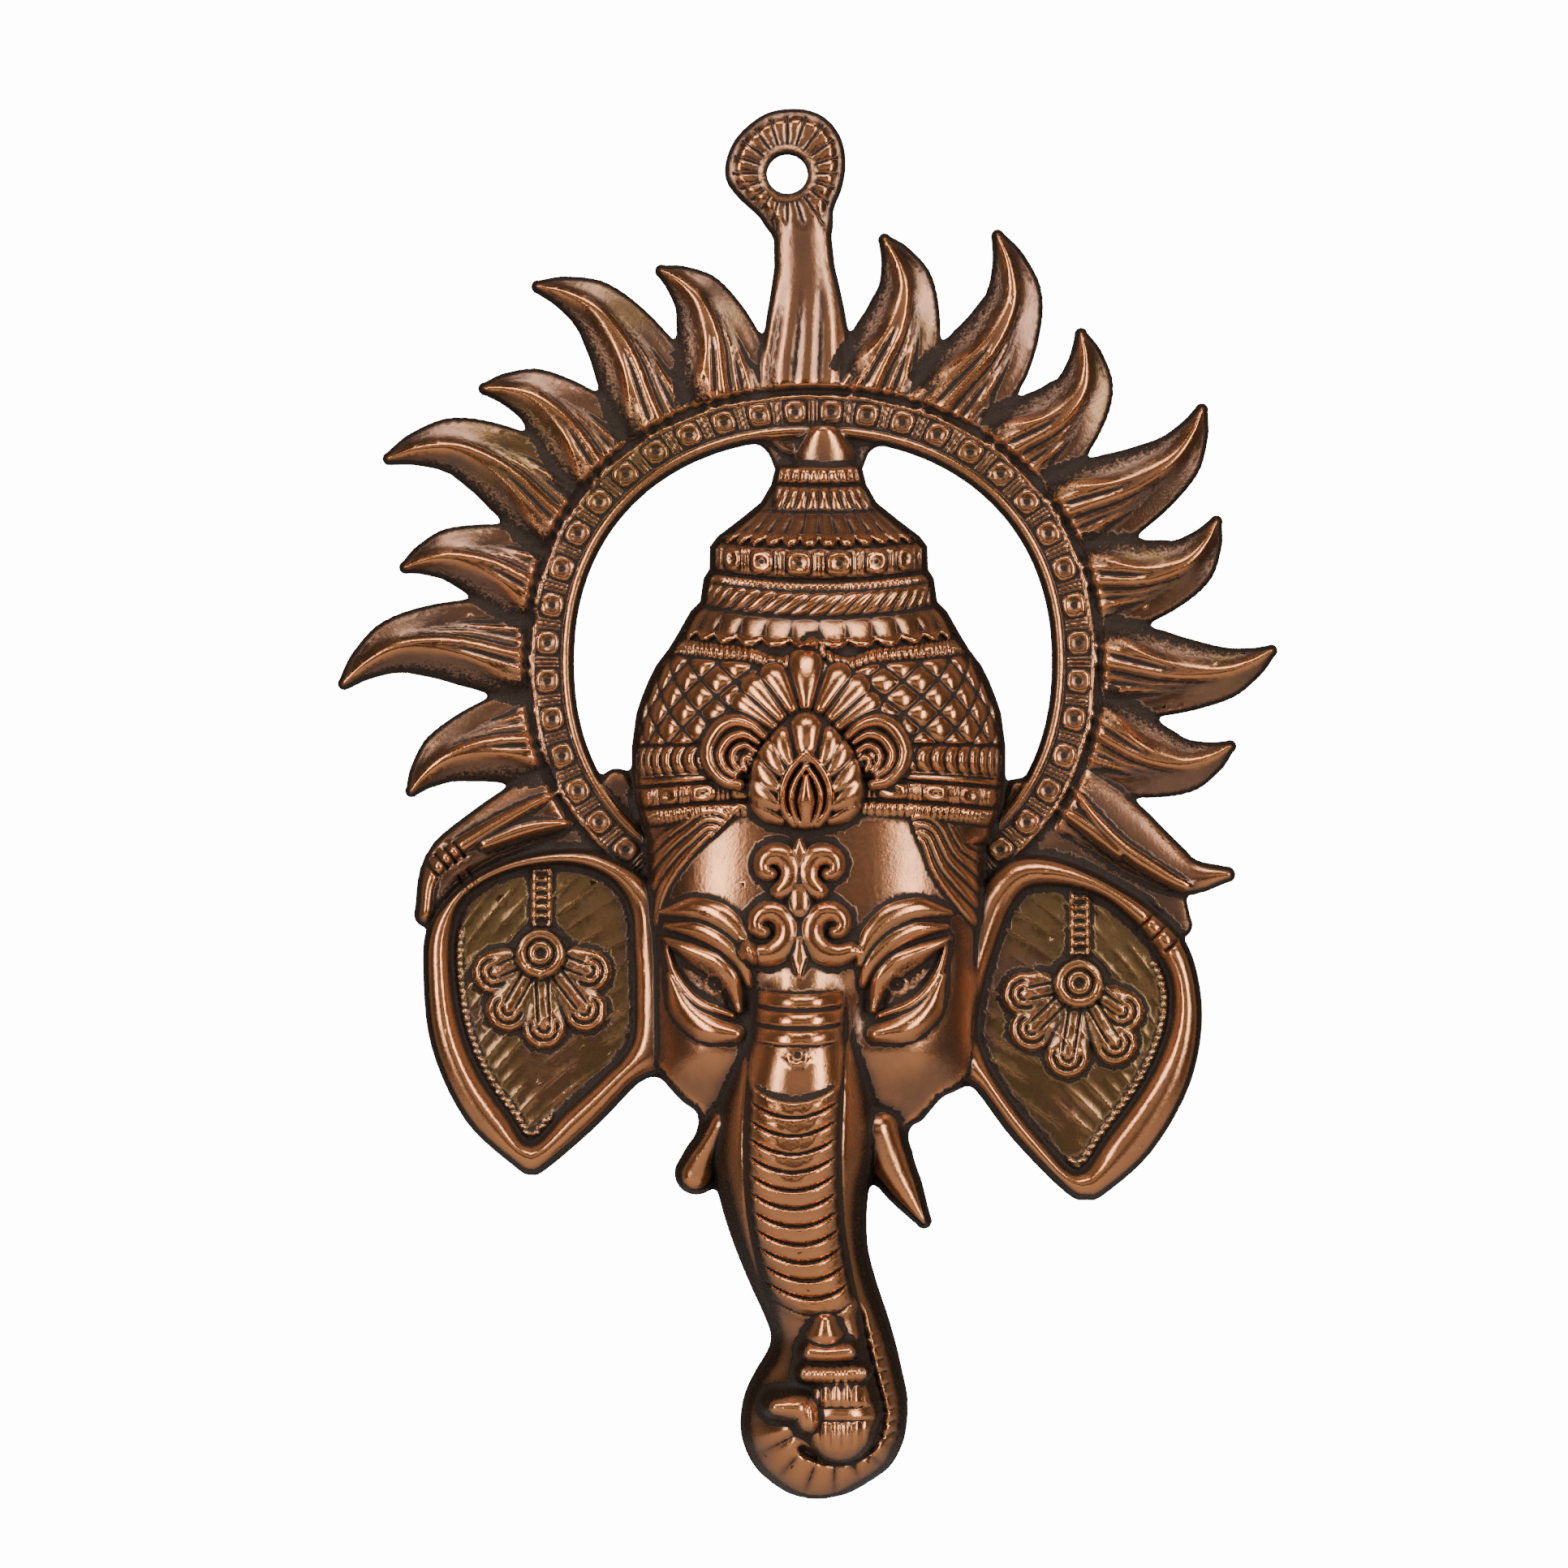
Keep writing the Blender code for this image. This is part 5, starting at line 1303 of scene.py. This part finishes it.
# %% Sockets that add up
class Value:
    """A socket of a shader that can be added, taken away and multiplied like a number."""

    def __init__(self, finish, socket):
        self.finish = finish
        self.socket = socket

    def maths(self, operation, first, second):
        return self.finish.node("ShaderNodeMath", {"operation": operation}, {0: first, 1: second})

    def __add__(self, other):
        return self.maths('ADD', self, other)

    def __sub__(self, other):
        return self.maths('SUBTRACT', self, other)

    def __rsub__(self, other):
        return self.maths('SUBTRACT', other, self)

    def __mul__(self, other):
        return self.maths('MULTIPLY', self, other)

    __radd__ = __add__
    __rmul__ = __mul__


class Finish:
    """A material whose nodes come from one method."""

    def __init__(self, name):
        self.material = bpy.data.materials.new(name)
        self.material.use_nodes = True
        self.tree = self.material.node_tree
        self.shader = self.tree.nodes["Principled BSDF"]

    def node(self, kind, settings, inputs, output=0):
        """Adds a node: its settings first, then the values or links of its sockets."""
        made = self.tree.nodes.new(kind)
        for name, value in settings.items():
            setattr(made, name, value)
        for name, value in inputs.items():
            self.feed(made.inputs[name], value)
        return Value(self, made.outputs[output])

    def feed(self, socket, value):
        """Gives a socket a link or a plain value."""
        if isinstance(value, Value):
            self.tree.links.new(value.socket, socket)
        else:
            socket.default_value = value

    def measure(self, name):
        """A number that is stored on the mesh."""
        return self.node("ShaderNodeAttribute", {"attribute_name": name}, {}, "Fac")

    def noise(self, scale, detail, rough):
        """Cloudy noise, with its scale in lumps per metre."""
        place = self.node("ShaderNodeTexCoord", {}, {}, "Object")
        return self.node("ShaderNodeTexNoise", {},
                         {"Vector": place, "Scale": scale, "Detail": detail, "Roughness": rough})

    def between(self, value, low, high):
        """0 below the low value, 1 above the high one, and a smooth rise between."""
        return self.node("ShaderNodeMapRange", {"interpolation_type": 'SMOOTHSTEP'},
                         {"Value": value, "From Min": low, "From Max": high})

    def most(self, first, *others):
        """The largest of several values."""
        for other in others:
            first = first.maths('MAXIMUM', first, other)
        return first

    def blend(self, share, under, over):
        """One colour laid over another by a share."""
        return self.node("ShaderNodeMix", {"data_type": 'RGBA'}, {0: share, 6: under, 7: over}, 2)


# %% [markdown]
# ## Antique copper
#
# On the real casting the plating is polished copper on the crests, brown where it was
# rubbed less, and a grainy black patina in the hollows. The steep walls and sides of the
# carving are painted browner and darker: partly metal that no rubbing reaches, partly
# painted shade where they turn from the light. The flames' left flanks, the notches at
# their feet and the eye sockets get painted shade mixed with patina. An olive stain lies
# on the upper left of the ring and inside the ears. Metal is metallic everywhere, and the
# patina is a dark oxide that scatters light, so it is less metallic and rougher. The
# painted shade is made the same way.

# %% Copper finish
BRIGHT_COPPER = (0.70, 0.285, 0.12, 1.0)
BROWN_COPPER = (0.20, 0.112, 0.076, 1.0)
# Darker brown for steep walls: partly metal that no rubbing reaches, partly painted shade.
WALL_BROWN_AND_SHADE = (0.12, 0.064, 0.040, 1.0)
# Black for the patina, and for the painted shade on steep sides, flame flanks and eye sockets.
BLACK_PATINA_AND_SHADE = (0.026, 0.0125, 0.006, 1.0)
OLIVE_STAIN = (0.26, 0.155, 0.05, 1.0)

copper = Finish("antique_copper_finish")
fine, wide = copper.measure("lift_fine"), copper.measure("lift_wide")
clouds = copper.noise(90.0, 4.0, 0.6)
grain = copper.noise(1700.0, 3.0, 0.7)
speckle = copper.noise(900.0, 4.0, 0.7)
hollow_mask = copper.between(0.0 - fine * 3.9 - wide * 0.30 + (speckle - 0.5) * 0.6, 0.2, 1.0)
rubbed = copper.between(copper.measure("tall"), 9.0, 21.0)
crest_mask = copper.between(fine * 2.2 + wide * 0.4 + (clouds - 0.5) * 0.9 + rubbed * 0.4 + 0.1, -0.2, 1.0)
edge_mask = 1.0 - copper.between(copper.measure("inset") + (speckle - 0.5) * 1.2, 0.1, 1.5)
# Steep sides are painted darker: painted shade where they turn from the light, partly also unrubbed metal.
steep = copper.measure("steep") + (speckle - 0.5) * 0.3
steep_shade_mask = copper.between(steep, 1.1, 3.0)
wall = copper.between(steep, 0.5, 1.7)
# Patina mixed with painted shade on the flames' left flanks and in the eye sockets.
flank_patina_and_shade_mask = copper.between(copper.measure("flank_patina_and_shade") + (grain - 0.5) * 0.9 + (speckle - 0.5) * 0.6, 0.55, 1.15)
# Patina in hollows, darkening along the outline, and painted shade on steep sides, flanks and eye sockets.
patina_and_shade = copper.most(hollow_mask, edge_mask * 0.75, steep_shade_mask * 0.65, flank_patina_and_shade_mask * 0.8)
metal = copper.blend(crest_mask, BROWN_COPPER, BRIGHT_COPPER)
# Darker brown on steep walls: partly unrubbed metal, partly painted shade.
metal = copper.blend(wall * 0.6, metal, WALL_BROWN_AND_SHADE)
stain = copper.between(copper.noise(60.0, 3.0, 0.6) + copper.measure("olive") * 0.22, 0.52, 0.72)
metal = copper.blend(stain * 0.6 * (1.0 - crest_mask * 0.8), metal, OLIVE_STAIN)
glint = copper.between(copper.noise(2300.0, 2.0, 0.6), 0.56, 0.68)
patina_and_shade = patina_and_shade * (1.0 - glint * 0.5)
darkening = copper.between(patina_and_shade, 0.0, 0.62)
copper.feed(copper.shader.inputs["Base Color"], copper.blend(darkening, metal, BLACK_PATINA_AND_SHADE))
copper.feed(copper.shader.inputs["Metallic"], (1.0 - patina_and_shade * 0.7) * (1.0 - wall * 0.35))
copper.feed(copper.shader.inputs["Roughness"], 0.22 + patina_and_shade * 0.36 + (1.0 - crest_mask) * 0.08)
bump = copper.node("ShaderNodeBump", {}, {"Strength": 0.5, "Distance": 0.0004,
                                          "Height": grain * (0.12 + patina_and_shade * 1.3) + speckle * 0.25})
copper.feed(copper.shader.inputs["Normal"], bump)
casting_mesh.materials.clear()
casting_mesh.materials.append(copper.material)
casting_mesh.polygons.foreach_set("use_smooth", np.ones(len(casting_mesh.polygons), bool))
print("nodes in the copper finish:", len(copper.tree.nodes))

# %% [markdown]
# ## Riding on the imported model
#
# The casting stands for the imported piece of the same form, and moves with it.

# %% Place of the casting
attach(casting, "root")
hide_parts("ganesha_wall_hanging")
print("the casting replaces the packed piece, and rides on body root")

# %% [markdown]
# ## Floor, light and camera
#
# Polished metal shows what stands round it. Two tall softboxes, one on each side of the
# camera, draw long bright lines down the crests, and the dim room between them leaves
# the dark lines that make metal look like metal.

# %% Floor
pale = Finish("pale_floor_finish")
pale.feed(pale.shader.inputs["Base Color"], (0.82, 0.82, 0.82, 1.0))
pale.shader.inputs["Roughness"].default_value = 0.9
FLOOR_RADIUS = 0.34
FLOOR_THICKNESS = 0.006
FLOOR_PLACE = (0.005, -0.03, -0.303)
bpy.ops.mesh.primitive_cylinder_add(vertices=96, radius=FLOOR_RADIUS, depth=FLOOR_THICKNESS,
                                    location=FLOOR_PLACE)
floor = bpy.context.object
floor.name = "pale_floor"
floor.data.materials.append(pale.material)
print("floor below the hanging at", FLOOR_PLACE[2], "m")


# %% Softboxes
# Middle of the hanging, at which every light is aimed
MIDDLE = Vector((0.004, 0.0, -0.115))
# Name, place, width, height and watts of each softbox
SOFTBOXES = (
    ("left_softbox", (-0.80, -0.85, 0.05), 0.36, 0.9, 9.3),
    ("right_softbox", (0.80, -0.85, 0.05), 0.36, 0.9, 9.3),
    ("top_softbox", (0.0, -0.55, 0.75), 0.8, 0.25, 5.0),
    ("front_panel", (0.0, -1.70, 0.15), 1.1, 0.8, 1.3),
    ("low_panel", (0.0, -0.60, -0.90), 0.9, 0.3, 2.0),
)


def softbox(name, place, wide, tall, watts):
    """A rectangular area light aimed at the middle of the hanging."""
    light = bpy.data.lights.new(name, 'AREA')
    light.shape = 'RECTANGLE'
    light.size, light.size_y = wide, tall
    light.energy = watts
    holder = bpy.data.objects.new(name, light)
    holder.location = place
    holder.rotation_euler = (MIDDLE - Vector(place)).to_track_quat('-Z', 'Y').to_euler()
    bpy.context.scene.collection.objects.link(holder)


for row in SOFTBOXES:
    softbox(*row)
print("softboxes:", len(SOFTBOXES))

# %% [markdown]
# The room is dim and warm to the metal, and plain white to the camera, like a cut-out
# photograph of a product.

# %% Room
DIM_ROOM = (0.032, 0.027, 0.022, 1.0)
WHITE_STRENGTH = 14.0
room = bpy.data.worlds.new("room")
bpy.context.scene.world = room
room.use_nodes = True
tree = room.node_tree
back = tree.nodes["Background"]
seen = tree.nodes.new("ShaderNodeBackground")
seen.inputs["Color"].default_value = (1.0, 1.0, 1.0, 1.0)
seen.inputs["Strength"].default_value = WHITE_STRENGTH
back.inputs["Color"].default_value = DIM_ROOM
pick = tree.nodes.new("ShaderNodeMixShader")
ray = tree.nodes.new("ShaderNodeLightPath")
tree.links.new(ray.outputs["Is Camera Ray"], pick.inputs[0])
tree.links.new(back.outputs[0], pick.inputs[1])
tree.links.new(seen.outputs[0], pick.inputs[2])
tree.links.new(pick.outputs[0], tree.nodes["World Output"].inputs["Surface"])
print("room colour that the metal reflects:", DIM_ROOM[:3])

# %% [markdown]
# A long lens from far off keeps the hanging's outline straight, as in a catalogue.

# %% Camera
FRAME_WIDTH = 0.2898
LENS = 180.0
camera = bpy.data.cameras.new("camera")
camera.lens = LENS
viewer = bpy.data.objects.new("camera", camera)
viewer.location = (-0.0006, -FRAME_WIDTH * LENS / camera.sensor_width, -0.1125)
viewer.rotation_euler = (math.radians(90.0), 0.0, 0.0)
bpy.context.scene.collection.objects.link(viewer)
bpy.context.scene.camera = viewer
print("camera distance in metres:", round(-viewer.location.y, 3))
